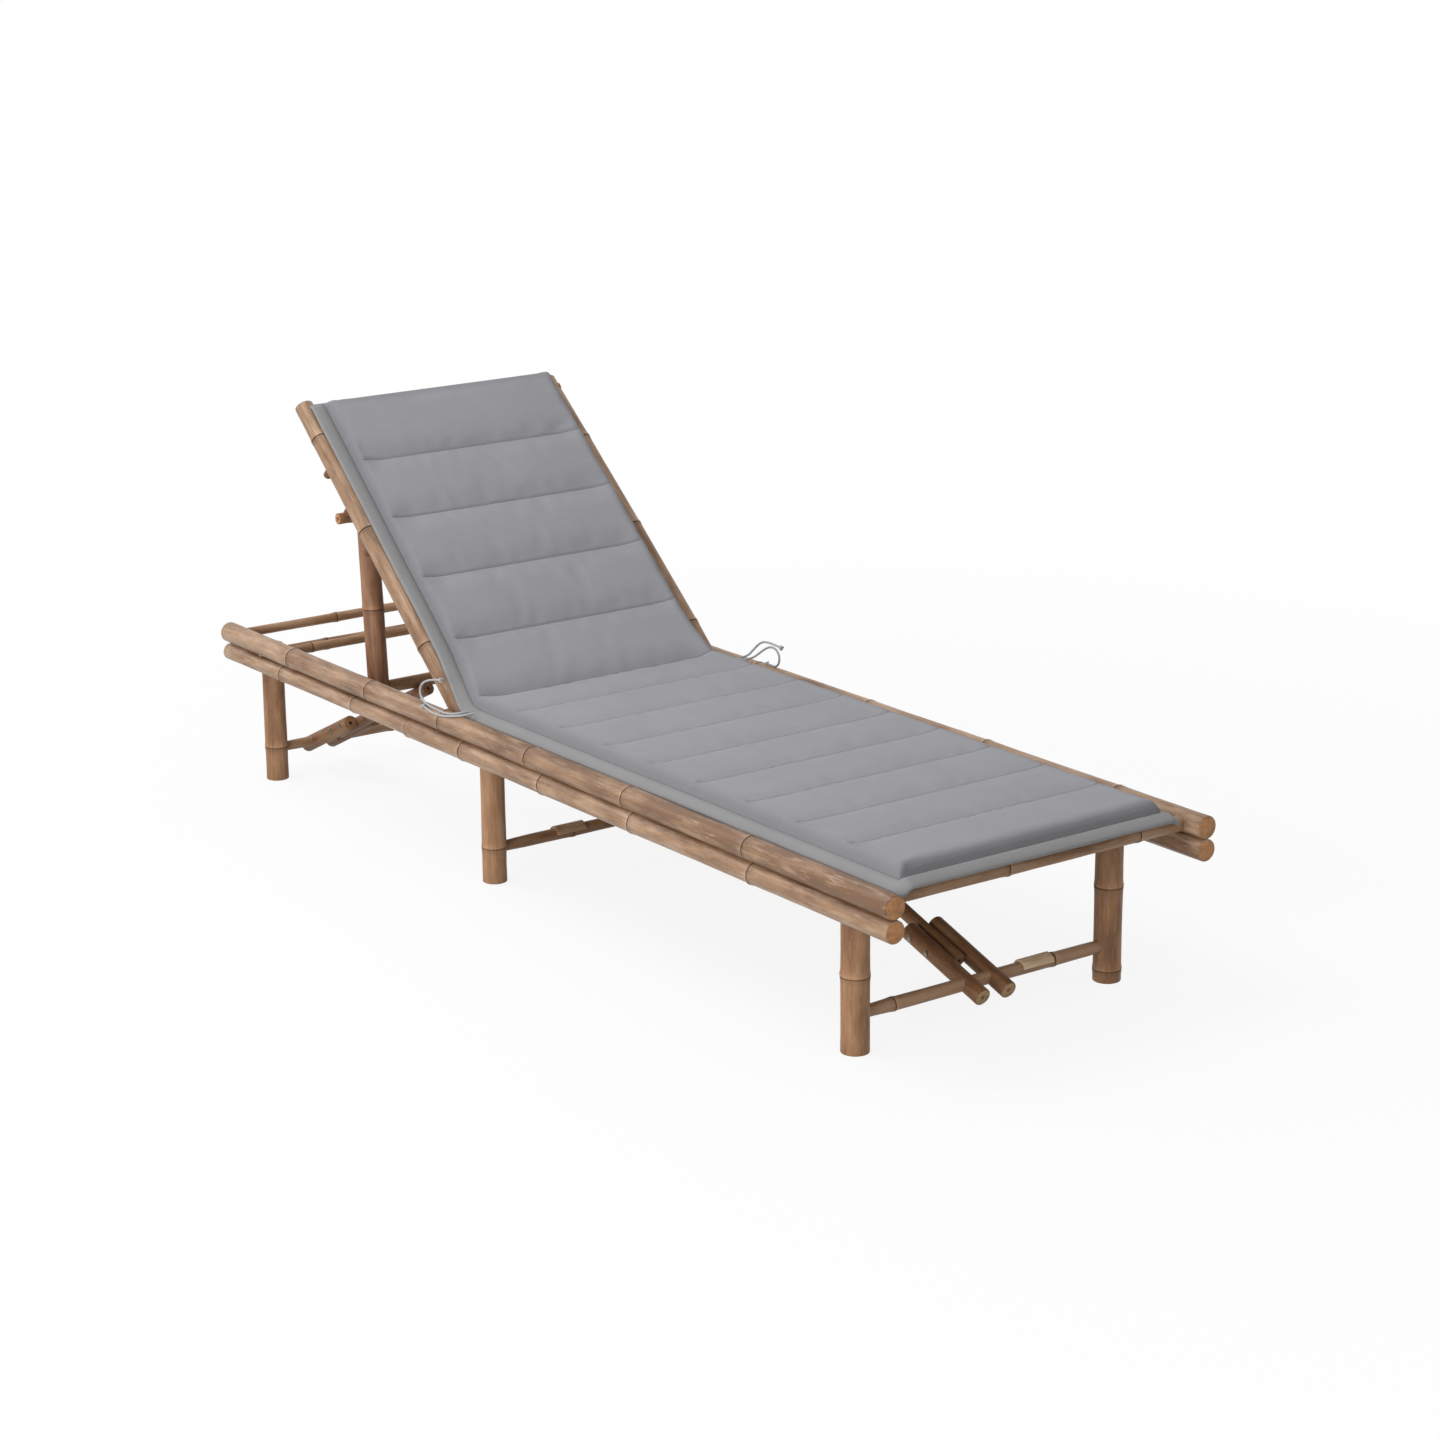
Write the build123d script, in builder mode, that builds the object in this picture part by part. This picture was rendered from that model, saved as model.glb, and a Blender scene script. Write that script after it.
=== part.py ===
from build123d import *

import os
from math import asin, atan2, cos, hypot, pi, radians, sin, tan

os.makedirs("parts", exist_ok=True)

# A bamboo sun lounger: +X to the lying person's left, +Y to the head, +Z up, floor at Z = 0, millimetres.
# The right side is at -X and the left side at +X.

# Base frame: two stacked rails a side
frame_length = 2000
frame_width = 650
frame_height = 300
rail_diameter = 35
rail_gap = 0.1
dowel_diameter = 8
dowel_grip = 10
dowel_foot_inset = 100
dowel_head_inset = 120

# Poles across the base frame: insets from its ends, or from the backrest's hinge
seat_pole_diameter = 26
foot_pole_inset = 45
front_pole_inset = 400
rear_pole_step = 145
hinge_pole_diameter = 22
hinge_inset = 765
head_pole_diameter = 18
head_pole_inset = 23
rest_pole_diameter = 17
rest_pole_inset = 195
leg_pole_diameter = 22
anchor_pole_diameter = 24
prop_pole_inset = 405

# Folding leg frames
leg_diameter = 42
leg_gap = 15
leg_head = 20
foot_leg_inset = 160
mid_leg_step = 70
head_leg_inset = 65
stretcher_diameter = 19
stretcher_z = 60
saddle_diameter = 29
saddle_length = 60
saddle_foot_x = 70
saddle_mid_x = -130

# Braces: a pole bolted between two fork pieces that ride on the stretcher
brace_diameter = 24
brace_start = 52
brace_overhang = 40
brace_notch = 3
brace_x = {"foot": -10, "mid": 60, "head": -140}
fork_diameter = 27
fork_tail = 40
fork_reach = 148
bolt_diameter = 5
bolt_head_diameter = 10
bolt_head_height = 3
bolt_places = (86, 128)

# Backrest
backrest_angle = 42.3
backrest_length = 692
backrest_tail = 25
backrest_rail_diameter = 32
backrest_gap = 8
backrest_pole_diameter = 20
backrest_pole_low = 70
backrest_pole_inset = 34
peg_pole_step = 50
peg_diameter = 16
peg_reach = 20
peg_depth = 14
peg_pitch = 88

# Prop under the backrest
prop_length = 320
prop_diameter = 36
prop_gap = 10
prop_foot = 24
prop_head = 18
prop_bar_diameter = 20
prop_bar_overhang = 16

# Split slats that carry the cushion
slat_width = 40
slat_thickness = 7
slat_edge = 3
seat_slat_count = 9
seat_slat_margin = 36
seat_slat_inset = 22
seat_slat_step = 103
back_slat_count = 7
back_slat_margin = 38
back_slat_start = 46
back_slat_inset = 8

# Cushion: a sewn flange with a channelled panel inside it
pad_gap = 2
pad_foot_inset = 15
pad_fold_step = 31
back_pad_start = 22
back_pad_inset = 8
pad_corner = 22
flange_width = 28
flange_thickness = 8
fold_margin = 6
channel_seam = 13
channel_crown = 28
pad_crown = 31
pad_side = 22
pad_side_round = 26
seat_channels = 9
back_channels = 5

# Ties at the fold, each a free cord
tie_diameter = 4
tie_sides = 8
tie_bend = 0.45

# Fits
socket_fit = 0.05
running_fit = 0.08
contact_gap = 0.3

# Bamboo rings
ring_swell = 0.6
ring_half = 5
ring_clearance = ring_swell + socket_fit

rail_x = frame_width / 2 - rail_diameter / 2
upper_z = frame_height - rail_diameter / 2
lower_z = upper_z - rail_diameter - 2 * ring_swell - rail_gap
inner_half = frame_width / 2 - rail_diameter
leg_x = inner_half - leg_gap - leg_diameter / 2
backrest_x = inner_half - backrest_gap - backrest_rail_diameter / 2
prop_x = backrest_x - backrest_rail_diameter / 2 - prop_gap - prop_diameter / 2
prop_bar_half = backrest_x + prop_bar_overhang
pad_width = 2 * (inner_half - pad_gap)
seat_slat_pitch = (pad_width - 2 * seat_slat_margin - slat_width) / (seat_slat_count - 1)
back_slat_run = 2 * (backrest_x - back_slat_margin) - backrest_rail_diameter - slat_width
back_slat_pitch = back_slat_run / (back_slat_count - 1)

# Places along the frame
foot_end = -frame_length / 2
head_end = frame_length / 2
hinge_y = head_end - hinge_inset
foot_pole_y = foot_end + foot_pole_inset
front_pole_y = foot_end + front_pole_inset
rear_pole_y = hinge_y - rear_pole_step
middle_pole_y = (front_pole_y + rear_pole_y) / 2
foot_leg_y = foot_end + foot_leg_inset
mid_leg_y = hinge_y - mid_leg_step
head_leg_y = head_end - head_leg_inset
center_pole_y = (foot_leg_y + mid_leg_y) / 2
prop_pole_y = head_end - prop_pole_inset
rest_pole_y = head_end - rest_pole_inset
head_pole_y = head_end - head_pole_inset
dowel_places = (foot_end + dowel_foot_inset, (middle_pole_y + rear_pole_y) / 2, head_end - dowel_head_inset)
pad_foot_y = foot_end + pad_foot_inset
pad_fold_y = hinge_y - pad_fold_step
seat_slat_foot_y = foot_end + seat_slat_inset
seat_slat_head_y = hinge_y - seat_slat_step

sides = {"right": -1, "left": 1}
across = Vector(1, 0, 0)
upward = Vector(0, 0, 1)
headward = Vector(0, 1, 0)

# The backrest's own directions: up its rails, and out of its front
lean = radians(backrest_angle)
back_run = Vector(0, cos(lean), sin(lean))
back_out = Vector(0, -sin(lean), cos(lean))
hinge = Vector(0, hinge_y, upper_z)

# The prop's bar touches a peg's tip, so its place follows from the prop's length and the backrest's slope
bar_drop = backrest_rail_diameter / 2 + peg_reach + contact_gap + prop_bar_diameter / 2
prop_pivot = Vector(0, prop_pole_y, lower_z)
pivot_run = (prop_pivot - hinge).dot(back_run)
pivot_drop = -(prop_pivot - hinge).dot(back_out)
prop_turn = asin((pivot_drop - bar_drop) / prop_length)
prop_run = back_run * cos(prop_turn) + back_out * sin(prop_turn)
peg_place = pivot_run + prop_length * cos(prop_turn)
peg_places = [peg_place + step * peg_pitch for step in (-1, 0, 1)]
backrest_pole_places = {"low": backrest_pole_low, "middle": peg_places[0] - peg_pole_step,
                        "top": backrest_length - backrest_pole_inset}


def on_backrest(run, out=0.0, x=0.0):
    return hinge + back_run * run + back_out * out + across * x


# A culm between two points: a straight stem with a swollen ring at each distance from its start
def culm(start, end, diameter, rings=()):
    axis = (end - start).normalized()
    side = axis.cross(across) if abs(axis.X) < 0.5 else upward
    stem = (end - start).length
    radius = diameter / 2
    outline = [(0, 0), (radius, 0)]
    for ring in rings:
        outline += [(radius, ring - ring_half), (radius + ring_swell, ring), (radius, ring + ring_half)]
    outline += [(radius, stem), (0, stem)]
    with BuildPart() as pole:
        with BuildSketch(Plane(origin=start, x_dir=side, z_dir=side.cross(axis))):
            with BuildLine():
                Polyline(*outline, close=True)
            make_face()
        revolve(axis=Axis(start, axis))
    return pole.part


# A round hole in the open part, from a point along a direction
def drill(point, direction, diameter, depth):
    with Locations(Plane(origin=point, z_dir=direction)):
        Cylinder(diameter / 2, depth, align=(Align.CENTER, Align.CENTER, Align.MIN), mode=Mode.SUBTRACT)


# A pin or peg added to the open part
def pin(point, direction, diameter, depth):
    with Locations(Plane(origin=point, z_dir=direction)):
        Cylinder(diameter / 2, depth, align=(Align.CENTER, Align.CENTER, Align.MIN))


def save(part, name):
    part.label = name
    export_step(part, f"parts/{name}.step")


# A pole across the frame, its ends in the rails' sockets
def cross_pole(name, y, z, diameter, rings):
    pole = culm(Vector(-rail_x, y, z), Vector(rail_x, y, z), diameter, rings)
    save(pole, name)


# Poles that the upper and the lower rails carry: place along the frame, diameter, and rings where they show
upper_poles = {
    "foot_crosspole": (foot_pole_y, seat_pole_diameter, (245, 508)),
    "seat_crosspole_front": (front_pole_y, seat_pole_diameter, ()),
    "seat_crosspole_middle": (middle_pole_y, seat_pole_diameter, ()),
    "seat_crosspole_rear": (rear_pole_y, seat_pole_diameter, ()),
    "hinge_crosspole": (hinge_y, hinge_pole_diameter, ()),
    "rest_crosspole": (rest_pole_y, rest_pole_diameter, (66, 330)),
    "head_crosspole": (head_pole_y, head_pole_diameter, (216, 450)),
}
lower_poles = {
    "foot_leg_pole": (foot_leg_y, leg_pole_diameter, ()),
    "center_crosspole": (center_pole_y, anchor_pole_diameter, ()),
    "mid_leg_pole": (mid_leg_y, leg_pole_diameter, ()),
    "prop_crosspole": (prop_pole_y, anchor_pole_diameter, ()),
    "head_leg_pole": (head_leg_y, leg_pole_diameter, ()),
}
for name, (y, diameter, rings) in upper_poles.items():
    cross_pole(name, y, upper_z, diameter, rings)
for name, (y, diameter, rings) in lower_poles.items():
    cross_pole(name, y, lower_z, diameter, rings)

# Side rails, with rings at distances from the foot end
rail_rings = {
    "upper_right": (347, 669, 951, 1223, 1469, 1749),
    "lower_right": (335, 653, 913, 1158, 1341, 1524, 1786),
    "upper_left": (200, 520, 830, 1150, 1400, 1690),
    "lower_left": (270, 600, 900, 1200, 1500, 1760),
}
rail_levels = {"upper": (upper_z, upper_poles, -1), "lower": (lower_z, lower_poles, 1)}
for level, (z, poles, dowel_way) in rail_levels.items():
    for side, sign in sides.items():
        foot_cut = Vector(sign * rail_x, foot_end, z)
        stem = culm(foot_cut, foot_cut + headward * frame_length, rail_diameter, rail_rings[f"{level}_{side}"])
        with BuildPart() as rail:
            add(stem)
            for y, diameter, rings in poles.values():
                drill(Vector(sign * rail_x, y, z), across * -sign, diameter + 2 * socket_fit, rail_diameter)
            for y in dowel_places:
                blind_end = Vector(sign * rail_x, y, z - dowel_way * dowel_grip)
                drill(blind_end, upward * dowel_way, dowel_diameter + 2 * socket_fit, rail_diameter)
        save(rail.part, f"rail_{level}_{side}")

# Dowels that hold each pair of rails together
with BuildPart() as dowels:
    for sign in sides.values():
        for y in dowel_places:
            low_end = Vector(sign * rail_x, y, lower_z - dowel_grip)
            pin(low_end, upward, dowel_diameter, upper_z - lower_z + 2 * dowel_grip)
save(dowels.part, "rail_dowels")

# Leg frames: two legs that turn on a pole in the lower rails, and a stretcher between them
leg_frames = {
    "foot": {"y": foot_leg_y, "fold": 1, "anchor": center_pole_y, "rings": {"right": (122,), "left": (20, 158)},
             "stretcher_rings": (70, 390)},
    "mid": {"y": mid_leg_y, "fold": -1, "anchor": center_pole_y, "rings": {"right": (63,), "left": (110,)},
            "stretcher_rings": (160, 420)},
    "head": {"y": head_leg_y, "fold": -1, "anchor": prop_pole_y, "rings": {"right": (64,), "left": (100,)},
             "stretcher_rings": (250, 380)},
}
leg_top = lower_z + leg_head
for frame_name, leg_frame in leg_frames.items():
    y = leg_frame["y"]
    for side, sign in sides.items():
        sole = Vector(sign * leg_x, y, 0)
        stem = culm(sole, sole + upward * leg_top, leg_diameter, leg_frame["rings"][side])
        with BuildPart() as leg:
            add(stem)
            outer = sole + across * (sign * leg_diameter)
            drill(outer + upward * lower_z, across * -sign, leg_pole_diameter + 2 * running_fit, 2 * leg_diameter)
            drill(sole + upward * stretcher_z, across * -sign, stretcher_diameter + 2 * socket_fit, leg_diameter)
        save(leg.part, f"{frame_name}_leg_{side}")
    right_end = Vector(-leg_x, y, stretcher_z)
    left_end = Vector(leg_x, y, stretcher_z)
    save(culm(right_end, left_end, stretcher_diameter, leg_frame["stretcher_rings"]), f"{frame_name}_stretcher")

# Saddles: half shells of split culm that lie over two of the stretchers
for name, y, x in (("foot_saddle", foot_leg_y, saddle_foot_x), ("mid_saddle", mid_leg_y, saddle_mid_x)):
    with BuildPart() as saddle:
        with BuildSketch(Plane.YZ.offset(x)):
            with Locations((y, stretcher_z)):
                Circle(saddle_diameter / 2)
                Circle(stretcher_diameter / 2 + ring_swell + socket_fit, mode=Mode.SUBTRACT)
                Rectangle(saddle_diameter, saddle_diameter, align=(Align.CENTER, Align.MAX), mode=Mode.SUBTRACT)
        extrude(amount=saddle_length)
    save(saddle.part, name)

# Braces: each rises from its stretcher and hooks, by a notch, under a pole of the base frame
fork_offset = brace_diameter / 2 + fork_diameter / 2 + ring_swell
hook_drop = anchor_pole_diameter / 2 + brace_diameter / 2 - brace_notch
for frame_name, leg_frame in leg_frames.items():
    x = brace_x[frame_name]
    anchor = Vector(x, leg_frame["anchor"], lower_z)
    foot = Vector(x, leg_frame["y"], stretcher_z)
    reach = (anchor - foot).length
    slope = atan2(anchor.Z - foot.Z, abs(anchor.Y - foot.Y)) - asin(hook_drop / reach)
    run = Vector(0, leg_frame["fold"] * cos(slope), sin(slope))
    brace_end = hypot(reach, hook_drop) - hook_drop * tan(slope) + brace_overhang
    stem = culm(foot + run * brace_start, foot + run * brace_end, brace_diameter, (brace_end * 0.4,))
    bolt_length = 2 * fork_offset + fork_diameter
    bolt_start = across * (-bolt_length / 2)
    with BuildPart() as brace:
        add(stem)
        drill(anchor - across * brace_diameter, across, anchor_pole_diameter + 2 * contact_gap, 2 * brace_diameter)
        for place in bolt_places:
            drill(foot + run * place + bolt_start, across, bolt_diameter + 2 * socket_fit, bolt_length)
    save(brace.part, f"{frame_name}_brace_pole")
    for side, sign in sides.items():
        root = foot + across * (sign * fork_offset)
        stem = culm(root - run * fork_tail, root + run * fork_reach, fork_diameter)
        with BuildPart() as fork:
            add(stem)
            drill(root - across * fork_diameter, across, stretcher_diameter + 2 * running_fit, 2 * fork_diameter)
            for place in bolt_places:
                drill(foot + run * place + bolt_start, across, bolt_diameter + 2 * socket_fit, bolt_length)
        save(fork.part, f"{frame_name}_brace_fork_{side}")
    with BuildPart() as bolts:
        for place in bolt_places:
            center = foot + run * place
            pin(center + bolt_start, across, bolt_diameter, bolt_length)
            for face, outward in ((center + bolt_start, across * -1), (center - bolt_start, across)):
                with BuildSketch(Plane(origin=face, x_dir=run, z_dir=outward)):
                    RegularPolygon(bolt_head_diameter / 2, 6)
                extrude(amount=bolt_head_height)
    save(bolts.part, f"{frame_name}_brace_bolts")

# Backrest rails, which turn on the hinge pole, with rings at distances from the lower end
backrest_rings = {"right": (175, 430, 640), "left": (120, 350, 560)}
backrest_pole_out = backrest_rail_diameter / 2 - slat_thickness - ring_clearance - backrest_pole_diameter / 2
for side, sign in sides.items():
    x = sign * backrest_x
    stem = culm(on_backrest(-backrest_tail, x=x), on_backrest(backrest_length, x=x),
                backrest_rail_diameter, backrest_rings[side])
    with BuildPart() as backrest_rail:
        add(stem)
        drill(hinge + across * (x - backrest_rail_diameter), across,
              hinge_pole_diameter + 2 * running_fit, 2 * backrest_rail_diameter)
        for place in backrest_pole_places.values():
            drill(on_backrest(place, backrest_pole_out, x), across * -sign,
                  backrest_pole_diameter + 2 * socket_fit, backrest_rail_diameter)
        for place in peg_places:
            drill(on_backrest(place, peg_depth - backrest_rail_diameter / 2, x), back_out * -1,
                  peg_diameter + 2 * socket_fit, backrest_rail_diameter)
    save(backrest_rail.part, f"backrest_rail_{side}")
    with BuildPart() as pegs:
        for place in peg_places:
            pin(on_backrest(place, peg_depth - backrest_rail_diameter / 2, x), back_out * -1,
                peg_diameter, peg_depth + peg_reach)
    save(pegs.part, f"backrest_pegs_{side}")

for level, place in backrest_pole_places.items():
    pole = culm(on_backrest(place, backrest_pole_out, -backrest_x), on_backrest(place, backrest_pole_out, backrest_x),
                backrest_pole_diameter)
    save(pole, f"backrest_pole_{level}")

# Prop: two posts that turn on a pole in the lower rails, and the bar that the pegs rest on
prop_top = prop_pivot + prop_run * prop_length
for side, sign in sides.items():
    shift = across * (sign * prop_x)
    stem = culm(prop_pivot - prop_run * prop_foot + shift, prop_top + prop_run * prop_head + shift,
                prop_diameter, (172,))
    with BuildPart() as post:
        add(stem)
        drill(prop_pivot + shift - across * prop_diameter, across,
              anchor_pole_diameter + 2 * running_fit, 2 * prop_diameter)
        drill(prop_top + shift - across * prop_diameter, across,
              prop_bar_diameter + 2 * socket_fit, 2 * prop_diameter)
    save(post.part, f"prop_post_{side}")
peg_side = backrest_x - peg_diameter / 2
post_side = prop_x + prop_diameter / 2
bar_rings = (prop_bar_half - (peg_side + post_side) / 2, prop_bar_half)
prop_bar = culm(prop_top - across * prop_bar_half, prop_top + across * prop_bar_half, prop_bar_diameter, bar_rings)
save(prop_bar, "prop_bar")


# One split slat: flat underneath, crowned on top
def slat(start, run, out, slat_length):
    half = slat_width / 2
    with BuildPart() as strip:
        with BuildSketch(Plane(origin=start, x_dir=out.cross(run), z_dir=run)):
            with BuildLine():
                Polyline((half, slat_edge), (half, 0), (-half, 0), (-half, slat_edge))
                ThreePointArc((-half, slat_edge), (0, slat_thickness), (half, slat_edge))
            make_face()
        extrude(amount=slat_length)
    return strip.part


def slat_deck(name, origin, run, out, count, pitch, slat_length):
    strips = [slat(origin + across * ((i - (count - 1) / 2) * pitch), run, out, slat_length) for i in range(count)]
    with BuildPart() as deck:
        add(strips)
    save(deck.part, name)


deck_z = upper_z + seat_pole_diameter / 2 + ring_clearance
slat_deck("seat_slats", Vector(0, seat_slat_foot_y, deck_z), headward, upward,
          seat_slat_count, seat_slat_pitch, seat_slat_head_y - seat_slat_foot_y)
back_deck = backrest_rail_diameter / 2 - slat_thickness
slat_deck("backrest_slats", on_backrest(back_slat_start, back_deck), back_run, back_out,
          back_slat_count, back_slat_pitch, backrest_length - back_slat_inset - back_slat_start)


# One cushion panel and its flange, along +Y from the origin: channels sewn across, a crown and drawn-in sides
def pad(pad_length, channels, start_margin, end_margin):
    panel_start = start_margin
    pitch = (pad_length - start_margin - end_margin) / channels
    panel_end = panel_start + channels * pitch
    half = pad_width / 2 - flange_width
    with BuildPart() as panel:
        with BuildSketch(Plane.YZ.offset(-half)):
            with BuildLine():
                for i in range(channels):
                    seam = panel_start + i * pitch
                    ThreePointArc((seam, channel_seam), (seam + pitch / 2, channel_crown), (seam + pitch, channel_seam))
                Polyline((panel_end, channel_seam), (panel_end, 0), (panel_start, 0), (panel_start, channel_seam))
            make_face()
        extrude(amount=2 * half)
        with BuildSketch(Plane.XZ):
            with BuildLine():
                shoulder = half - pad_side_round
                bulge = half - pad_side_round * (1 - cos(pi / 4))
                ThreePointArc((-half, 0), (-bulge, pad_side * sin(pi / 4)), (-shoulder, pad_side))
                ThreePointArc((-shoulder, pad_side), (0, pad_crown), (shoulder, pad_side))
                ThreePointArc((shoulder, pad_side), (bulge, pad_side * sin(pi / 4)), (half, 0))
                Line((half, 0), (-half, 0))
            make_face()
        extrude(amount=-pad_length, mode=Mode.INTERSECT)
    with BuildPart() as cushion:
        with BuildSketch():
            with Locations((0, pad_length / 2)):
                RectangleRounded(pad_width, pad_length, pad_corner)
        extrude(amount=flange_thickness)
        add(panel.part)
    return cushion.part


pad_z = deck_z + slat_thickness + contact_gap
seat_pad = pad(pad_fold_y - pad_foot_y, seat_channels, flange_width, fold_margin)
save(seat_pad.moved(Location((0, pad_foot_y, pad_z))), "seat_pad")
back_pad = pad(backrest_length - back_pad_inset - back_pad_start, back_channels, fold_margin, flange_width)
back_pad_origin = on_backrest(back_pad_start, backrest_rail_diameter / 2 + ring_clearance)
save(back_pad.moved(Location(Plane(origin=back_pad_origin, x_dir=across, z_dir=back_out))), "back_pad")

# Ties: routes from the flange's edge over the rails
tie_x = pad_width / 2
tie_z = pad_z + flange_thickness / 2
tie_routes = {
    "tie_right_a": [(-tie_x, 180, tie_z), (-304, 180, tie_z), (-313, 190, 305), (-316, 207, 302.5), (-316, 230, 302),
                    (-315, 253, 302.3), (-314, 274, 303.5), (-312, 291, 308), (-310, 303, 317), (-307, 304, 331),
                    (-304, 292, 340), (-301, 272, 346), (-299, 249, 350)],
    "tie_right_b": [(-tie_x, 164, tie_z), (-303, 164, tie_z), (-312, 173, 305.5), (-318, 189, 302), (-322, 210, 298.5),
                    (-323, 233, 297), (-322, 256, 298), (-319, 277, 301)],
    "tie_left_a": [(tie_x, 180, tie_z), (303, 180, tie_z), (312, 176, 317), (316, 166, 329), (314, 149, 339),
                   (311, 129, 343), (308, 107, 344), (309, 85, 342)],
    "tie_left_b": [(tie_x, 164, tie_z), (303, 164, tie_z), (312, 158, 315), (316, 145, 326), (315, 129, 333.5),
                   (312, 113, 336), (310, 100, 334), (309, 91, 325), (308, 91, 312), (308, 100, 304), (309, 113, 303),
                   (310, 129, 303.3)],
}
for name, route in tie_routes.items():
    points = [Vector(*point) for point in route]
    runs = [after - before for before, after in zip(points, points[1:])]
    bends = []
    for before, after in zip(runs, runs[1:]):
        bends.append(tie_bend * min(before.length, after.length) / tan(radians(before.get_angle(after)) / 2))
    with BuildPart() as tie:
        with BuildLine() as path:
            FilletPolyline(*points, radius=bends)
        with BuildSketch(Plane(origin=points[0], z_dir=runs[0])):
            RegularPolygon(tie_diameter / 2, tie_sides)
        sweep(path=path.line)
    save(tie.part, name)
    tube_length = sum(edge.length for edge in path.line.edges())
    section = tie_sides / 2 * (tie_diameter / 2)**2 * sin(2 * pi / tie_sides)
    print(name, "bend radii", [round(bend) for bend in bends],
          "volume share", round(tie.part.volume / (section * tube_length), 4))
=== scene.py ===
import math

import bmesh
import bpy
import numpy as np
from mathutils import Matrix, Vector, noise


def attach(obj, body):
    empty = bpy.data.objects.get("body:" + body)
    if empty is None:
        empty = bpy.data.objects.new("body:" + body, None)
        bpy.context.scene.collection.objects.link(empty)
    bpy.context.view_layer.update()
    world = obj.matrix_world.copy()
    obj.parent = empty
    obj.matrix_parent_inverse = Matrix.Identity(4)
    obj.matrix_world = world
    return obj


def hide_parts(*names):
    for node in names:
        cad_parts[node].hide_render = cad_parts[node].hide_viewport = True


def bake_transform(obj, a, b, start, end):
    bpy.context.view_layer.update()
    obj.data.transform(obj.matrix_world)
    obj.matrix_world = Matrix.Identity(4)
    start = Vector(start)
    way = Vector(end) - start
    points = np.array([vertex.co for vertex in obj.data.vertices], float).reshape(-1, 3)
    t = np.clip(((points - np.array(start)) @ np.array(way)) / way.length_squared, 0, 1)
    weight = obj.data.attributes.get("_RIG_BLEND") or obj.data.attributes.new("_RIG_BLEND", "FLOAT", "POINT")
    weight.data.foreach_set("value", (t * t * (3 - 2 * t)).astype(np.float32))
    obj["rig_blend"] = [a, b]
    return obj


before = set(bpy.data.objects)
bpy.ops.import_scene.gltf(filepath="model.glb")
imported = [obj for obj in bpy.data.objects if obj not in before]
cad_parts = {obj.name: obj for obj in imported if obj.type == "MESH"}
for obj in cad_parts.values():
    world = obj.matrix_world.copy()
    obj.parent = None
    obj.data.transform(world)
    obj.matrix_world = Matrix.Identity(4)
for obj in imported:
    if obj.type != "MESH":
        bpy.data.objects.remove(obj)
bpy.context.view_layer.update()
scene = bpy.context.scene
mm = 0.001
bandsApart = 0.314  # the pitch of a wave texture's bands at scale 1
print("frame loaded:", len(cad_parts), "nodes")


# a colour in linear light, from a hex string or a grey value
def colourOf(tone):
    if not isinstance(tone, str):
        return (tone, tone, tone, 1.0)
    parts = [int(tone[i:i + 2], 16) / 255 for i in (1, 3, 5)]
    return (*[c / 12.92 if c <= 0.04045 else ((c + 0.055) / 1.055) ** 2.4 for c in parts], 1.0)


def smooth(value):
    value = max(0.0, min(1.0, value))
    return value * value * (3 - 2 * value)


# links a socket to another one, or sets its value
def feed(tree, socket, value):
    if isinstance(value, bpy.types.NodeSocket):
        tree.links.new(value, socket)
    else:
        socket.default_value = colourOf(value) if socket.type == "RGBA" else value


# adds one node and returns its outputs: settings by name, inputs by socket, ramp stops as (place, tone)
def addNode(tree, kind, inputs=None, stops=None, **settings):
    node = tree.nodes.new(f"ShaderNode{kind}")
    for name, value in settings.items():
        setattr(node, name, value)
    if stops:
        ramp = node.color_ramp.elements
        while len(ramp) < len(stops):
            ramp.new(1.0)
        for element, (place, tone) in zip(ramp, stops):
            element.position = place
            element.color = colourOf(tone)
    for key, value in (inputs or {}).items():
        feed(tree, node.inputs[key], value)
    return node.outputs


def newMaterial(name):
    material = bpy.data.materials.new(name)
    material.use_nodes = True
    tree = material.node_tree
    return material, tree, tree.nodes["Principled BSDF"]


def objectPlace(tree):
    return addNode(tree, "TexCoord")["Object"]


def readAttribute(tree, name, output="Fac"):
    return addNode(tree, "Attribute", attribute_name=name)[output]


def calculate(tree, operation, first, second):
    return addNode(tree, "Math", {0: first, 1: second}, operation=operation)[0]


# places counted in sizes of their own along x, y and z
def scalePlace(tree, place, *sizes):
    scale = [1 / size for size in sizes]
    return addNode(tree, "Mapping", {"Vector": place, "Scale": scale})[0]


def cloudNoise(tree, place, size, detail, roughness=0.5):
    return addNode(tree, "TexNoise", {
        "Vector": place, "Scale": 1 / size, "Detail": detail, "Roughness": roughness})["Fac"]


# light and dark bands at a pitch, along an axis
def bandWave(tree, place, pitch, distortion, way):
    return addNode(tree, "TexWave", {
        "Vector": place, "Scale": bandsApart / pitch, "Distortion": distortion},
        bands_direction=way)["Fac"]


def rampColour(tree, factor, *stops):
    return addNode(tree, "ValToRGB", {"Fac": factor}, stops=stops)["Color"]


def mixColour(tree, share, first, second, blend="MULTIPLY"):
    return addNode(tree, "Mix", {0: share, 6: first, 7: second}, data_type="RGBA", blend_type=blend)[2]


# gives a shader its colour and roughness, and a fine relief where there is a height
def coverShader(tree, shader, colour, roughness, height=None, strength=0.4, depth=0.4 * mm):
    feed(tree, shader.inputs["Base Color"], colour)
    feed(tree, shader.inputs["Roughness"], roughness)
    if height is not None:
        bump = addNode(tree, "Bump", {"Height": height, "Strength": strength, "Distance": depth})
        feed(tree, shader.inputs["Normal"], bump[0])


def addPiece(name, data):
    piece = bpy.data.objects.new(name, data)
    scene.collection.objects.link(piece)
    return piece


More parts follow.
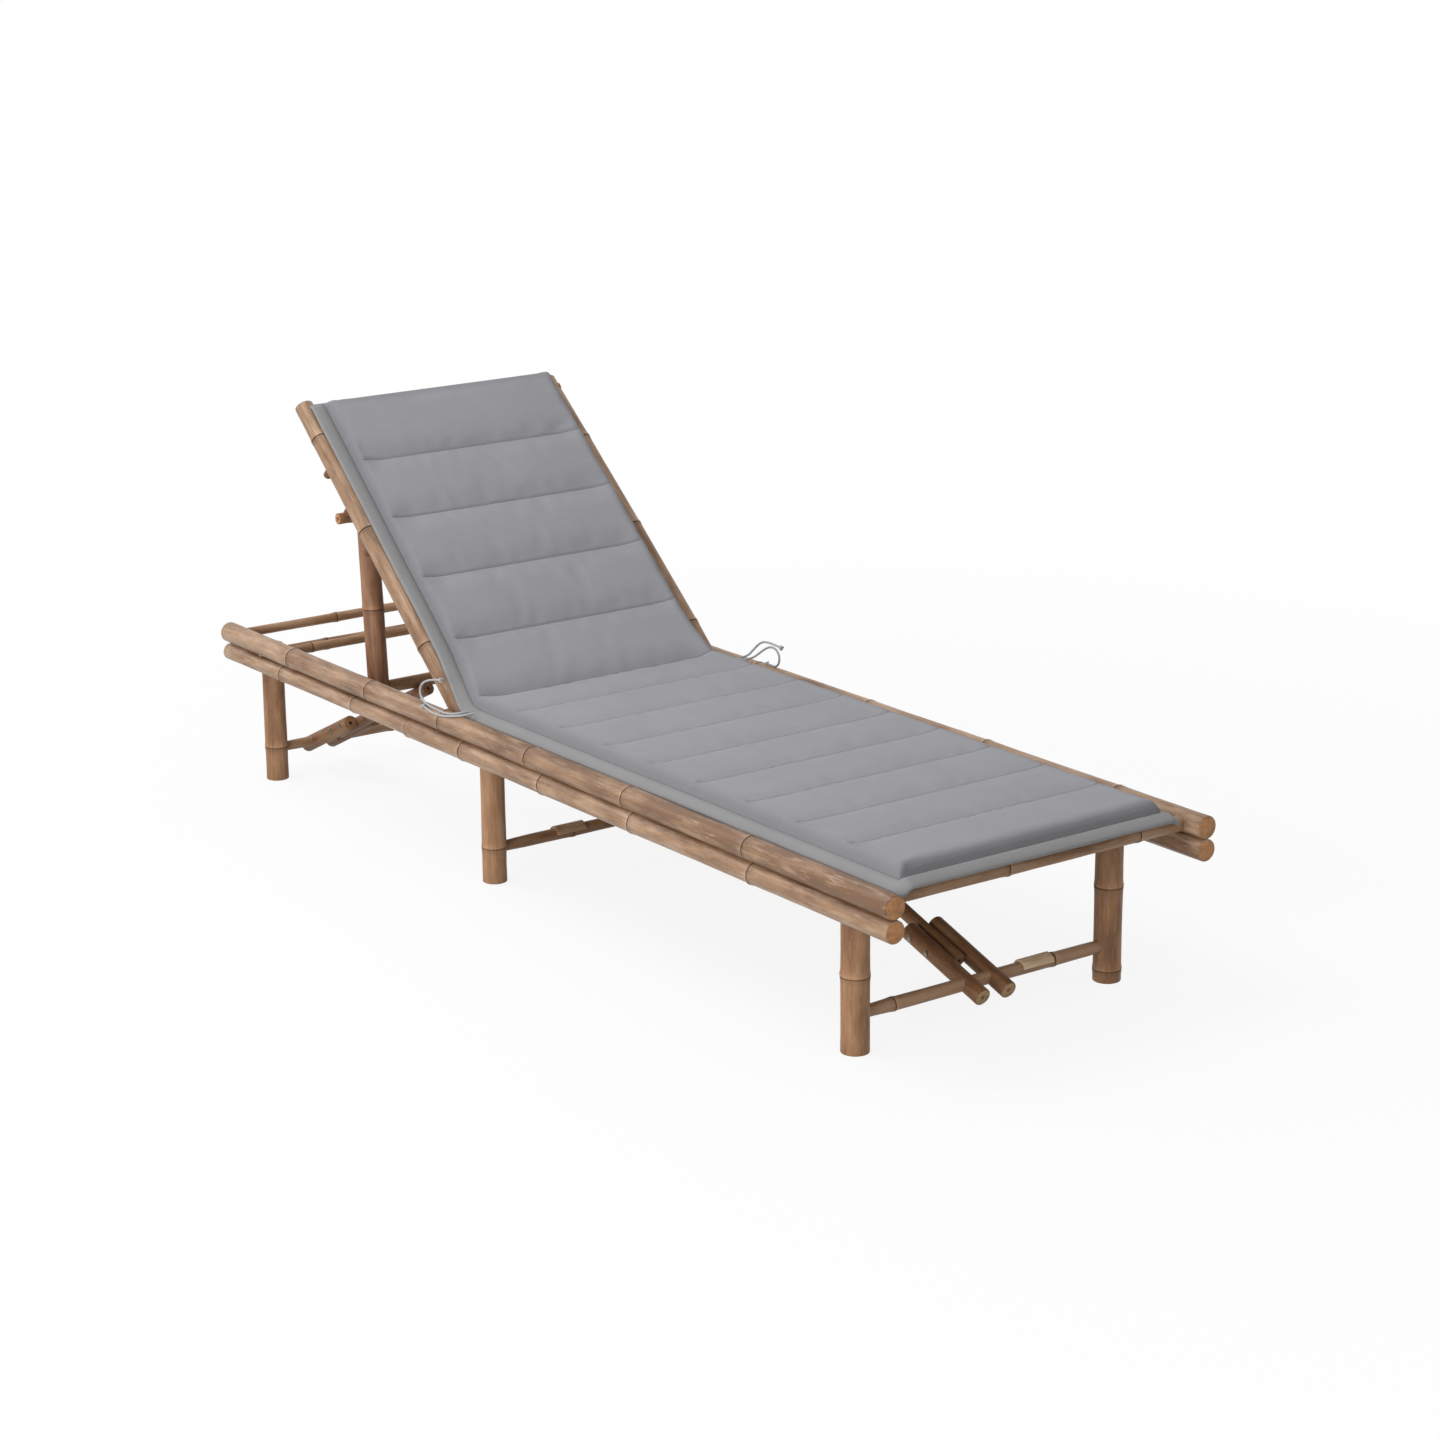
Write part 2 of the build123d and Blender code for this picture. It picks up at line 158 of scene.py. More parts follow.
def finishMesh(name, bm, materials, sharpAngle=50):
    for face in bm.faces:
        face.smooth = True
    mesh = bpy.data.meshes.new(name)
    bm.to_mesh(mesh)
    bm.free()
    for material in materials:
        mesh.materials.append(material)
    mesh.set_sharp_from_angle(angle=math.radians(sharpAngle))
    return addPiece(name, mesh)


# a piece moves with a body and stands for a node, whose imported solid is hidden
def stand(piece, node, body):
    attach(piece, body)
    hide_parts(node)


# Camera at the photograph's place
cameraLook = {
    "place": (-3.2075, -4.5716, 1.8888), "azimuth": -36.049, "elevation": 16.142, "roll": -0.503,
    "focalPixels": 3390.73, "imagePixels": 1440, "centrePixels": (724.37, 724.97),
}
azimuth, elevation, roll = (math.radians(cameraLook[key]) for key in ("azimuth", "elevation", "roll"))
cameraData = bpy.data.cameras.new("camera")
cameraData.lens = cameraLook["focalPixels"] * cameraData.sensor_width / cameraLook["imagePixels"]
centreX, centreY = (pixels / cameraLook["imagePixels"] - 0.5 for pixels in cameraLook["centrePixels"])
cameraData.shift_x, cameraData.shift_y = -centreX, centreY
camera = addPiece("camera", cameraData)
camTurn = Matrix.Rotation(azimuth, 4, "Z") @ Matrix.Rotation(math.pi / 2 - elevation, 4, "X")
camera.matrix_world = Matrix.Translation(cameraLook["place"]) @ camTurn @ Matrix.Rotation(roll, 4, "Z")
scene.camera = camera

# Ties: soft grey cords sewn to the cushion at the fold, each ending in a small knot (millimetres)
tieLook = {"diameter": 4, "knotScale": 1.25, "knotCord": 1.5, "knotPoints": 24, "knotFlat": 1.3,
           "colour": "#B9B9BC", "shade": "#9E9EA2", "strand": 1.1 * mm}
tieRoutes = {
    "tie_right_a": [(-288, 180, 307.45), (-304, 180, 307.45), (-313, 190, 305), (-316, 207, 302.5),
                    (-316, 230, 302), (-315, 253, 302.3), (-314, 274, 303.5), (-312, 291, 308),
                    (-310, 303, 317), (-307, 304, 331), (-304, 292, 340), (-301, 272, 346), (-299, 249, 350)],
    "tie_right_b": [(-288, 164, 307.45), (-303, 164, 307.45), (-312, 173, 305.5), (-318, 189, 302),
                    (-322, 210, 298.5), (-323, 233, 297), (-322, 256, 298), (-319, 277, 301)],
    "tie_left_a": [(288, 180, 307.45), (303, 180, 307.45), (312, 176, 317), (316, 166, 329), (314, 149, 339),
                   (311, 129, 343), (308, 107, 344), (309, 85, 342)],
    "tie_left_b": [(288, 164, 307.45), (303, 164, 307.45), (312, 158, 315), (316, 145, 326),
                   (315, 129, 333.5), (312, 113, 336), (310, 100, 334), (309, 91, 325), (308, 91, 312),
                   (308, 100, 304), (309, 113, 303), (310, 129, 303.3)],
}

# twisted cotton cord: soft, matt, fine slanting strands
tieCotton, tree, shader = newMaterial("cotton_cord_grey")
strand = bandWave(tree, objectPlace(tree), tieLook["strand"], 1.5, "DIAGONAL")
tint = rampColour(tree, strand, (0.1, tieLook["shade"]), (0.7, tieLook["colour"]))
coverShader(tree, shader, tint, 0.92, strand)


def softCurve(name, points, radius, closed=False):
    curve = bpy.data.curves.new(name, "CURVE")
    curve.dimensions = "3D"
    spline = curve.splines.new("NURBS")
    spline.points.add(len(points) - 1)
    for point, at in zip(spline.points, points):
        point.co = (*(v * mm for v in at), 1)
    spline.order_u = 3
    spline.use_endpoint_u = not closed
    spline.use_cyclic_u = closed
    curve.bevel_depth = radius * mm
    curve.bevel_resolution = 5
    curve.resolution_u = 10
    curve.use_fill_caps = True
    curve.materials.append(tieCotton)
    return addPiece(name, curve)


for name, route in tieRoutes.items():
    cord = softCurve(f"{name}_cord", route, tieLook["diameter"] / 2)
    stand(cord, name, "frame")
    end = Vector(route[-1])
    knotTurn = (end - Vector(route[-2])).to_track_quat("Z", "X")
    turns = [math.tau * i / tieLook["knotPoints"] for i in range(tieLook["knotPoints"])]
    loops = [Vector((math.sin(t) + 2 * math.sin(2 * t), math.cos(t) - 2 * math.cos(2 * t),
                     -tieLook["knotFlat"] * math.sin(3 * t))) for t in turns]
    knot = softCurve(f"{name}_knot", [end + knotTurn @ (loop * tieLook["knotScale"]) for loop in loops],
                     tieLook["knotCord"], closed=True)
    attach(knot, "frame")
print("camera and ties set")

# bamboo skin under worn matt varnish: long fibre streaks, blotches, pale scuffs, dark rings with a pale lip
bambooLook = {
    "streakWide": 1.8 * mm, "streakLong": 110 * mm, "blotchWide": 24 * mm, "blotchLong": 110 * mm,
    "speckSize": 4 * mm, "scuffWide": 7 * mm, "scuffLong": 55 * mm, "ringReach": 24 * mm,
}


def bambooMaterial(name, paleHex, midHex, darkHex, scuffHex, roughness, grooveShade=0.24):
    look = bambooLook
    material, tree, shader = newMaterial(name)
    place = readAttribute(tree, "grainPlace", "Vector")
    tone, ring, close = (readAttribute(tree, key) for key in ("culmTone", "ringOffset", "ringClose"))

    def grain(wide, long, detail, rough):
        return cloudNoise(tree, scalePlace(tree, place, wide, wide, long), 1.0, detail, rough)

    streak = grain(look["streakWide"], look["streakLong"], 3.0, 0.6)
    blotch = grain(look["blotchWide"], look["blotchLong"], 4.0, 0.62)
    speck = grain(look["speckSize"], look["speckSize"] * 2, 5.0, 0.7)
    scuff = grain(look["scuffWide"], look["scuffLong"], 6.0, 0.68)

    # blotches choose between the pale, middle and dark skin, shifted by each culm's tone, which on the middle
    # stretcher and saddle also carries painted shade
    shifted = calculate(tree, "SUBTRACT", calculate(tree, "ADD", blotch, tone), 0.5)
    skin = rampColour(tree, shifted, (0.3, paleHex), (0.5, midHex), (0.7, darkHex))
    fibre = rampColour(tree, streak, (0.3, 0.74), (0.5, 1.0), (0.72, 1.1))
    skin = mixColour(tree, 0.8, skin, fibre)
    worn = rampColour(tree, scuff, (0.54, 0.0), (0.72, 0.6))
    skin = mixColour(tree, worn, skin, scuffHex, "MIX")
    dots = rampColour(tree, speck, (0.28, 0.42), (0.37, 1.0))
    skin = mixColour(tree, 0.8, skin, dots)

    # across a ring: shade before it, a dark groove, a pale lip, then back to the skin
    ringPlace = calculate(tree, "MULTIPLY", ring, 0.5 / look["ringReach"])
    ringPlace = calculate(tree, "ADD", ringPlace, 0.5)
    band = rampColour(tree, ringPlace, (0.24, 1.0), (0.45, 0.8), (0.482, grooveShade),
                      (0.508, grooveShade + 0.04), (0.53, 1.28), (0.6, 1.15), (0.78, 1.0))
    skin = mixColour(tree, close, skin, band)
    gloss = addNode(tree, "MapRange", {
        "Value": scuff, "From Min": 0.35, "From Max": 0.72, "To Min": roughness, "To Max": roughness + 0.28})
    relief = calculate(tree, "ADD", streak, speck)
    coverShader(tree, shader, skin, gloss[0], relief, depth=0.5 * mm)
    shader.inputs["Specular IOR Level"].default_value = 0.34
    return material


# sawn and sanded bamboo end: fibre dots in a warm wall, cloudy towards the middle
def cutEndMaterial(name, wallHex, dotHex):
    material, tree, shader = newMaterial(name)
    place = readAttribute(tree, "grainPlace", "Vector")
    dots = addNode(tree, "TexVoronoi", {"Vector": place, "Scale": 1 / (1.8 * mm)})["Distance"]
    wall = rampColour(tree, dots, (0.12, dotHex), (0.38, wallHex))
    shade = rampColour(tree, cloudNoise(tree, place, 9 * mm, 4.0), (0.3, 0.7), (0.6, 1.08))
    coverShader(tree, shader, mixColour(tree, 0.9, wall, shade), 0.75, dots, 0.3)
    return material


railBamboo = bambooMaterial("bamboo_rail_varnished", "#C0A38A", "#A18064", "#7A5B43", "#C3AC97", 0.3)
poleBamboo = bambooMaterial("bamboo_pole_varnished", "#B08C6E", "#967252", "#735036", "#B59A82", 0.4)
legBamboo = bambooMaterial("bamboo_leg_varnished", "#B8916E", "#A27856", "#7F5A3F", "#B89A7E", 0.42, 0.55)
propBamboo = bambooMaterial("bamboo_prop_browned", "#AC8467", "#966D50", "#744C35", "#AE8F76", 0.4, 0.5)
braceBamboo = bambooMaterial("bamboo_brace_browned", "#98724F", "#80593A", "#5E3F29", "#9A7C60", 0.45)
pegWood = bambooMaterial("hardwood_peg_oiled", "#8E6247", "#764C35", "#573422", "#8C6A52", 0.5)
saddleBamboo = bambooMaterial("bamboo_split_saddle", "#E3C7A5", "#C4A381", "#94745A", "#D2BBA2", 0.5)
cutEnd = cutEndMaterial("bamboo_sawn_end", "#C28C5E", "#93623B")
paleEnd = cutEndMaterial("bamboo_sawn_end_dry", "#B8976F", "#8F6F4E")
darkEnd = cutEndMaterial("bamboo_sawn_end_stained", "#8A6545", "#5E4029")
print("bamboo materials made")

# One bamboo culm: a spun outline with waisted internodes, grooved rings, sanded ends and a slight wander
culmShape = {
    "sides": 40, "rowStep": 34 * mm, "endRound": 1.6 * mm, "endCut": 0.3, "waist": 0.3 * mm,
    "boreDepth": 22 * mm,
    "ringRows": ((-10, 0.0), (-4.5, 0.5), (-1.8, 0.85), (-0.8, 0.65), (-0.35, -0.45), (0.25, -0.45),
                 (0.8, 0.95), (2.0, 1.05), (4.5, 0.55), (10, 0.0)),
    "ringBlank": 11 * mm, "ringFull": 10 * mm, "coreShare": 0.6, "endSkin": 0.2 * mm,
    "budSize": 0.9 * mm, "budAfter": 5 * mm, "budLong": 4 * mm, "budTurn": 0.3, "oval": 0.12 * mm,
    "uneven": 0.35 * mm, "unevenAcross": 45, "unevenAlong": 22, "stepOver": 3 * mm, "neckShare": 0.16,
    "neckOver": 26 * mm, "bowPower": 1.5, "wanderPace": 3.1, "grainShift": 0.37,
}
culmLayers = ("ringOffset", "ringClose", "culmTone")


# adds a spun outline of (radius, height) points to a bmesh and returns its vertices and faces
def spinOutline(bm, outline, sides):
    known = set(bm.verts)
    chain = [bm.verts.new((r, 0.0, z)) for r, z in outline]
    edges = [bm.edges.new(pair) for pair in zip(chain, chain[1:])]
    bmesh.ops.spin(bm, geom=chain + edges, axis=(0, 0, 1), cent=(0, 0, 0), angle=math.tau, steps=sides,
                   use_merge=True)
    bmesh.ops.remove_doubles(bm, verts=[v for v in bm.verts if v not in known], dist=0.01 * mm)
    made = [v for v in bm.verts if v not in known]
    faces = {face for vert in made for face in vert.link_faces}
    bmesh.ops.recalc_face_normals(bm, faces=list(faces))
    return made, faces


def roundEdges(bm, edges, size):
    bmesh.ops.bevel(bm, geom=edges, offset=size, segments=2, profile=0.5, affect="EDGES", material=-1)


# the turn that stands a shape's Z along a direction, with its X kept near the world's
def standAlong(axis):
    side = Vector((1, 0, 0)) if abs(axis.x) < 0.5 else Vector((0, 0, 1))
    side = (side - axis * side.dot(axis)).normalized()
    return Matrix((side, axis.cross(side), axis)).transposed().to_4x4()


# adds a culm from start to end, sizes in millimetres; bow shifts its far end sideways
def addCulm(bm, seed, start, end, diameter, rings=(), bores=(0, 0), wander=0.4, tone=(0.5, 0.5), neck=0.0,
            steps=(), bow=(0, 0)):
    shape = culmShape
    start, end = Vector(start) * mm, Vector(end) * mm
    length = (end - start).length
    radius = diameter * mm / 2
    rings = [ring * mm for ring in rings]
    edge = shape["endRound"]
    cut = edge * shape["endCut"]
    rows = {}
    stops = [0.0, *rings, length]
    for low, high in zip(stops, stops[1:]):
        parts = max(2, round((high - low) / shape["rowStep"]))
        for i in range(1, parts):
            rows[low + (high - low) * i / parts] = -shape["waist"] * math.sin(math.pi * i / parts)
    for ring in rings:
        rows = {row: swell for row, swell in rows.items() if abs(row - ring) > shape["ringBlank"]}
    for ring in rings:
        rows.update({ring + offset * mm: swell * mm for offset, swell in shape["ringRows"]})
    outline = [(0.0, 0.0)]
    if bores[0]:
        outline = [(0.0, shape["boreDepth"]), (bores[0] * mm, shape["boreDepth"]), (bores[0] * mm, 0.0)]
    outline += [(radius - edge, 0.0), (radius - cut, cut), (radius, edge)]
    outline += [(radius + swell, row) for row, swell in sorted(rows.items())
                if 2 * edge < row < length - 2 * edge]
    outline += [(radius, length - edge), (radius - cut, length - cut), (radius - edge, length)]
    if bores[1]:
        deep = length - shape["boreDepth"]
        outline += [(bores[1] * mm, length), (bores[1] * mm, deep), (0.0, deep)]
    else:
        outline += [(0.0, length)]
    verts, faces = spinOutline(bm, outline, shape["sides"])
    for face in faces:
        middle = face.calc_center_median()
        flat = min(middle.z, length - middle.z) < shape["endSkin"]
        sawn = flat or math.hypot(middle.x, middle.y) < radius * shape["coreShare"]
        face.material_index = 0 if not sawn else 1 if middle.z < length / 2 else 2

    # buds beside the rings, ovalness, wander, thinner stretches and necks at sunk ends
    buds = [(ring + shape["budAfter"], (seed * 1.7 + 2.4 * i) % math.tau) for i, ring in enumerate(rings)]
    grainPlace = bm.verts.layers.float_vector["grainPlace"]
    ringOffset, ringClose, culmTone = (bm.verts.layers.float[name] for name in culmLayers)
    reach = bambooLook["ringReach"]
    move = Matrix.Translation(start) @ standAlong((end - start).normalized())
    for vert in verts:
        x, y, z = vert.co
        across = math.hypot(x, y)
        nearest = min((z - ring for ring in rings), key=abs, default=reach)
        vert[grainPlace] = (x + seed * shape["grainShift"], y, z + seed * shape["grainShift"])
        vert[ringOffset] = max(-reach, min(reach, nearest))
        vert[ringClose] = smooth((reach - abs(nearest)) / (reach - shape["ringFull"]))
        vert[culmTone] = tone[0] + (tone[1] - tone[0]) * z / length
        if across > radius * shape["coreShare"]:
            angle = math.atan2(y, x)
            grow = shape["oval"] * math.sin(2 * angle + seed + z * 9)
            fine, coarse = shape["unevenAcross"], shape["unevenAlong"]
            grow += shape["uneven"] * noise.noise(Vector((x * fine, y * fine, z * coarse + seed)))
            for budRow, budAngle in buds:
                turn = abs((angle - budAngle + math.pi) % math.tau - math.pi) / shape["budTurn"]
                grow += shape["budSize"] * math.exp(-turn ** 2 - ((z - budRow) / shape["budLong"]) ** 2)
            for stepRow, stepSize in steps:
                grow += stepSize * mm * smooth((z - stepRow * mm) / shape["stepOver"] + 0.5)
            if neck:
                clear = (min(z, length - z) - neck * mm) / shape["neckOver"]
                grow -= shape["neckShare"] * radius * smooth(1 - clear)
            x += x / across * grow
            y += y / across * grow
        bent = mm * (z / length) ** shape["bowPower"]
        swing = wander * mm * math.sin(math.pi * z / length)
        pace = z * shape["wanderPace"]
        x += bow[0] * bent + swing * noise.noise(Vector((seed * 0.71, 0.3, pace)))
        y += bow[1] * bent + swing * noise.noise(Vector((seed * 0.53, 7.9, pace)))
        vert.co = move @ Vector((x, y, z))


def startCulms():
    bm = bmesh.new()
    bm.verts.layers.float_vector.new("grainPlace")
    for name in culmLayers:
        bm.verts.layers.float.new(name)
    return bm


# a number of its own for each name, so that no two culms look alike
def nameSeed(name):
    return sum(ord(letter) * (i + 1) for i, letter in enumerate(name)) % 97


# a single culm that stands for a node
def culm(node, body, slot, bark, start, end, diameter, sawn=(cutEnd, cutEnd), **details):
    bm = startCulms()
    addCulm(bm, nameSeed(node), start, end, diameter, **details)
    stand(finishMesh(f"{node}_culm", bm, [bark, *sawn]), node, body)


# The lounger's layout in millimetres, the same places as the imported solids
layout = {
    "railX": 307.5, "upperZ": 282.5, "lowerZ": 246.2, "halfLength": 1000,
    "legX": 254, "legTop": 266.2, "stretcherZ": 60,
    "legYs": {"foot": -840, "mid": 165, "head": 935},
    "anchorYs": {"foot": -337.5, "mid": -337.5, "head": 595},
    "foldWays": {"foot": 1, "mid": -1, "head": -1},
    "hinge": (235, 282.5), "backAngle": 42.3, "backLength": 692, "backTail": 25, "backX": 266,
    "propPivot": (595, 246.2), "propLength": 320, "propX": 222,
    "barDrop": 46.3, "barHalf": 282, "pegPitch": 88,
}
sides = {"right": -1, "left": 1}
backLean = math.radians(layout["backAngle"])
backRun = Vector((0, math.cos(backLean), math.sin(backLean)))
backOut = Vector((0, -math.sin(backLean), math.cos(backLean)))
hinge = Vector((0, *layout["hinge"]))


def onBackrest(run, out=0.0, x=0.0):
    return hinge + backRun * run + backOut * out + Vector((x, 0, 0))


# Side rails, rings counted from the foot end; a lower rail thins past one of its rings
railLooks = {
    "upper_right": {"rings": (347, 669, 951, 1223, 1469, 1749), "tone": (0.7, 0.49)},
    "lower_right": {"rings": (335, 653, 913, 1158, 1341, 1524, 1786), "tone": (0.55, 0.48),
                    "steps": ((1341, -2.4),)},
    "upper_left": {"rings": (200, 520, 830, 1150, 1400, 1690), "tone": (0.55, 0.45)},
    "lower_left": {"rings": (270, 600, 900, 1200, 1500, 1760), "tone": (0.6, 0.5)},
}
railDiameters = {"upper": 37.8, "lower": 36.2}
for level, diameter in railDiameters.items():
    for side, sign in sides.items():
        x, y = sign * layout["railX"], layout["halfLength"]
        z = layout[f"{level}Z"] + (diameter - railDiameters["lower"]) / 2
        culm(f"rail_{level}_{side}", "frame", "rail_bamboo", railBamboo, (x, -y, z), (x, y, z), diameter,
             wander=0.9, **railLooks[f"{level}_{side}"])

# Poles across the base frame: place, height, diameter, rings from the right end, tone
crossPoles = {
    "foot_crosspole": (-955, "upperZ", 26, (245, 508), 0.42),
    "seat_crosspole_front": (-600, "upperZ", 26, (200, 470), 0.6),
    "seat_crosspole_middle": (-255, "upperZ", 26, (130, 400), 0.5),
    "seat_crosspole_rear": (90, "upperZ", 26, (230, 490), 0.55),
    "hinge_crosspole": (235, "upperZ", 22, (180, 420), 0.6),
    "rest_crosspole": (805, "upperZ", 17, (66, 330), 0.5),
    "head_crosspole": (977, "upperZ", 18, (216, 450), 0.42),
    "foot_leg_pole": (-840, "lowerZ", 22, (190, 440), 0.55),
    "center_crosspole": (-337.5, "lowerZ", 24, (110, 500), 0.5),
    "mid_leg_pole": (165, "lowerZ", 22, (210, 400), 0.6),
    "prop_crosspole": (595, "lowerZ", 24, (240, 450), 0.55),
    "head_leg_pole": (935, "lowerZ", 22, (170, 420), 0.5),
}
for node, (y, level, diameter, rings, tone) in crossPoles.items():
    x, z = layout["railX"], layout[level]
    culm(node, "frame", "pole_bamboo", poleBamboo, (-x, y, z), (x, y, z), diameter, rings=rings, wander=1.0,
         tone=(tone, tone))
print("rails and poles made")

# Leg frames: two legs, a stretcher, and on two of them a split-bamboo saddle
legRings = {"foot": {"right": (122,), "left": (20, 158)}, "mid": {"right": (63,), "left": (110,)},
            "head": {"right": (64,), "left": (100,)}}
legLooks = {"foot": {"diameter": 45, "tone": (0.55, 0.5)}, "mid": {"diameter": 42.5, "tone": (0.42, 0.4)},
            "head": {"diameter": 42, "tone": (0.55, 0.53)}}
# the middle stretcher's darker tone, growing darker towards its left end, is partly its own and partly
# painted shade from the seat above
stretcherLooks = {"foot": {"diameter": 22, "rings": (70, 390), "tone": (0.26, 0.2)},
                  "mid": {"diameter": 21.5, "rings": (160, 420), "tone": (0.54, 0.62)},
                  "head": {"diameter": 19.5, "rings": (250, 380), "tone": (0.36, 0.4)}}
# the middle saddle's darker tone is partly its own and partly painted shade from the seat above
saddleLook = {"outer": 14.5, "inner": 10.3, "spread": 168, "starts": {"foot": 70, "mid": -130}, "length": 60,
              "tonesWithPaintedShade": {"foot": 0.25, "mid": 0.6}, "turnSteps": 22, "lengthCuts": 5, "edgeRound": 0.7,
              "ragged": 1.2, "raggedPace": 160}
for key, y in layout["legYs"].items():
    for side, sign in sides.items():
        x = sign * layout["legX"]
        culm(f"{key}_leg_{side}", f"{key}_legs", "leg_bamboo", legBamboo, (x, y, 0), (x, y, layout["legTop"]),
             rings=legRings[key][side], bores=(9, 9), wander=0.6, **legLooks[key])
    x, z = layout["legX"], layout["stretcherZ"]
    culm(f"{key}_stretcher", f"{key}_legs", "pole_bamboo", poleBamboo, (-x, y, z), (x, y, z),
         wander=0.8, neck=20, **stretcherLooks[key])
for key, start in saddleLook["starts"].items():
    bm = startCulms()
    grainPlace = bm.verts.layers.float_vector["grainPlace"]
    culmTone = bm.verts.layers.float["culmTone"]
    inner, outer, long = (saddleLook[size] for size in ("inner", "outer", "length"))
    corners = [(inner, 0), (outer, 0), (outer, long), (inner, long)]
    bm.faces.new([bm.verts.new((r * mm, 0, z * mm)) for r, z in corners])
    longEdges = [e for e in bm.edges if e.calc_length() > outer * mm]
    bmesh.ops.subdivide_edges(bm, edges=longEdges, cuts=saddleLook["lengthCuts"], use_grid_fill=True)
    sweep = math.radians(saddleLook["spread"])
    bmesh.ops.spin(bm, geom=bm.faces[:], axis=(0, 0, 1), cent=(0, 0, 0), angle=sweep,
                   steps=saddleLook["turnSteps"])
    bmesh.ops.remove_doubles(bm, verts=bm.verts[:], dist=0.01 * mm)
    bmesh.ops.recalc_face_normals(bm, faces=bm.faces[:])
    rims = [e for e in bm.edges if e.is_manifold and e.calc_face_angle() > 1.0]
    roundEdges(bm, rims, saddleLook["edgeRound"] * mm)
    turn = Matrix.Rotation((math.pi - sweep) / 2, 4, "Z")
    lay = Matrix(((0, 0, 1, 0), (1, 0, 0, 0), (0, 1, 0, 0), (0, 0, 0, 1)))
    move = Matrix.Translation(Vector((start, layout["legYs"][key], layout["stretcherZ"])) * mm) @ lay @ turn
    for vert in bm.verts:
        vert[grainPlace] = vert.co + Vector((nameSeed(key), 0, nameSeed(key)))
        # on the middle saddle this tone also holds painted shade
        vert[culmTone] = saddleLook["tonesWithPaintedShade"][key]
        outwards = vert.co.z / (long * mm) * 2 - 1
        vert.co.z += saddleLook["ragged"] * mm * noise.noise(vert.co * saddleLook["raggedPace"]) * outwards
        vert.co = move @ vert.co
    saddle = finishMesh(f"{key}_saddle_split", bm, [saddleBamboo], 35)
    stand(saddle, f"{key}_saddle", f"{key}_legs")
print("legs made")

# bolts: zinc-plated steel gone dull, brighter where it is worn
boltSteel, tree, shader = newMaterial("zinc_plated_steel_dull")
wear = cloudNoise(tree, objectPlace(tree), 2.5 * mm, 5.0)
tint = rampColour(tree, wear, (0.35, "#655A4E"), (0.6, "#9A8F82"))
dull = addNode(tree, "MapRange", {"Value": wear, "To Min": 0.55, "To Max": 0.3})
coverShader(tree, shader, tint, dull[0])
shader.inputs["Metallic"].default_value = 1.0

# Braces: a pole between two forks, bolted through with washers and hexagon heads
braceLook = {
    "x": {"foot": -10, "mid": 60, "head": -140}, "start": 52, "overhang": 40, "hookDrop": 21,
    "ringShare": 0.4, "forkOffset": 26.1, "forkTail": 40, "forkReach": 148,
    "forkTones": {"right": (0.5, 0.42), "left": (0.5, 0.5)},
    "pole": {"diameter": 24, "sawn": (darkEnd, darkEnd), "bores": (3, 3)},
    "fork": {"diameter": 29, "sawn": (paleEnd, darkEnd), "bores": (3.2, 3.4), "wander": 0.2},
    "bolts": (86, 128), "boltSpan": 79.2, "boltRadius": 2.5, "headRadius": 5.2, "headThick": 2.2,
    "washerRadius": 6.3, "washerThick": 0.8, "washerEdge": 0.3, "headEdge": (0.9, 0.7), "headCrown": 0.1,
}
halfSpan, boltRadius = braceLook["boltSpan"] / 2, braceLook["boltRadius"]
washerTop, washerRadius = halfSpan + braceLook["washerThick"], braceLook["washerRadius"]
headTop, headRadius = washerTop + braceLook["headThick"], braceLook["headRadius"]
shaftOutline = [(0, -halfSpan), (boltRadius, -halfSpan), (boltRadius, halfSpan), (0, halfSpan)]
washerEdge, (edgeIn, edgeDown) = braceLook["washerEdge"], braceLook["headEdge"]
washerOutline = [(0, halfSpan), (washerRadius, halfSpan), (washerRadius, washerTop - washerEdge),
                 (washerRadius - washerEdge, washerTop), (0, washerTop)]
headOutline = [(0, washerTop), (headRadius, washerTop), (headRadius, headTop - edgeDown),
               (headRadius - edgeIn, headTop), (0, headTop + braceLook["headCrown"])]
boltParts = [(shaftOutline, 16, 1)] + [(outline, count, way) for way in (-1, 1)
                                       for outline, count in ((washerOutline, 24), (headOutline, 6))]
for key, y in layout["legYs"].items():
    body = f"{key}_brace"
    rise = layout["lowerZ"] - layout["stretcherZ"]
    away = abs(layout["anchorYs"][key] - y)
    reach = math.hypot(rise, away)
    drop = braceLook["hookDrop"]
    slope = math.atan2(rise, away) - math.asin(drop / reach)
    run = Vector((0, layout["foldWays"][key] * math.cos(slope), math.sin(slope)))
    root = Vector((braceLook["x"][key], y, layout["stretcherZ"]))
    stop = math.hypot(reach, drop) - drop * math.tan(slope) + braceLook["overhang"]
    culm(f"{key}_brace_pole", body, "pole_bamboo", braceBamboo, root + run * braceLook["start"],
         root + run * stop, rings=(stop * braceLook["ringShare"],), **braceLook["pole"])
    for side, sign in sides.items():
        beside = root + Vector((sign * braceLook["forkOffset"], 0, 0))
        culm(f"{key}_brace_fork_{side}", body, "pole_bamboo", braceBamboo,
             beside - run * braceLook["forkTail"], beside + run * braceLook["forkReach"],
             tone=braceLook["forkTones"][side], **braceLook["fork"])
    bm = bmesh.new()
    for place in braceLook["bolts"]:
        at = Matrix.Translation((root + run * place) * mm) @ Matrix.Rotation(math.pi / 2, 4, "Y")
        for outline, count, way in boltParts:
            verts, _ = spinOutline(bm, [(r * mm, z * mm * way) for r, z in outline], count)
            bmesh.ops.transform(bm, matrix=at @ Matrix.Rotation(place, 4, "Z"), verts=verts)
    bolts = finishMesh(f"{key}_brace_bolts_steel", bm, [boltSteel], 30)
    stand(bolts, f"{key}_brace_bolts", body)
print("braces made")

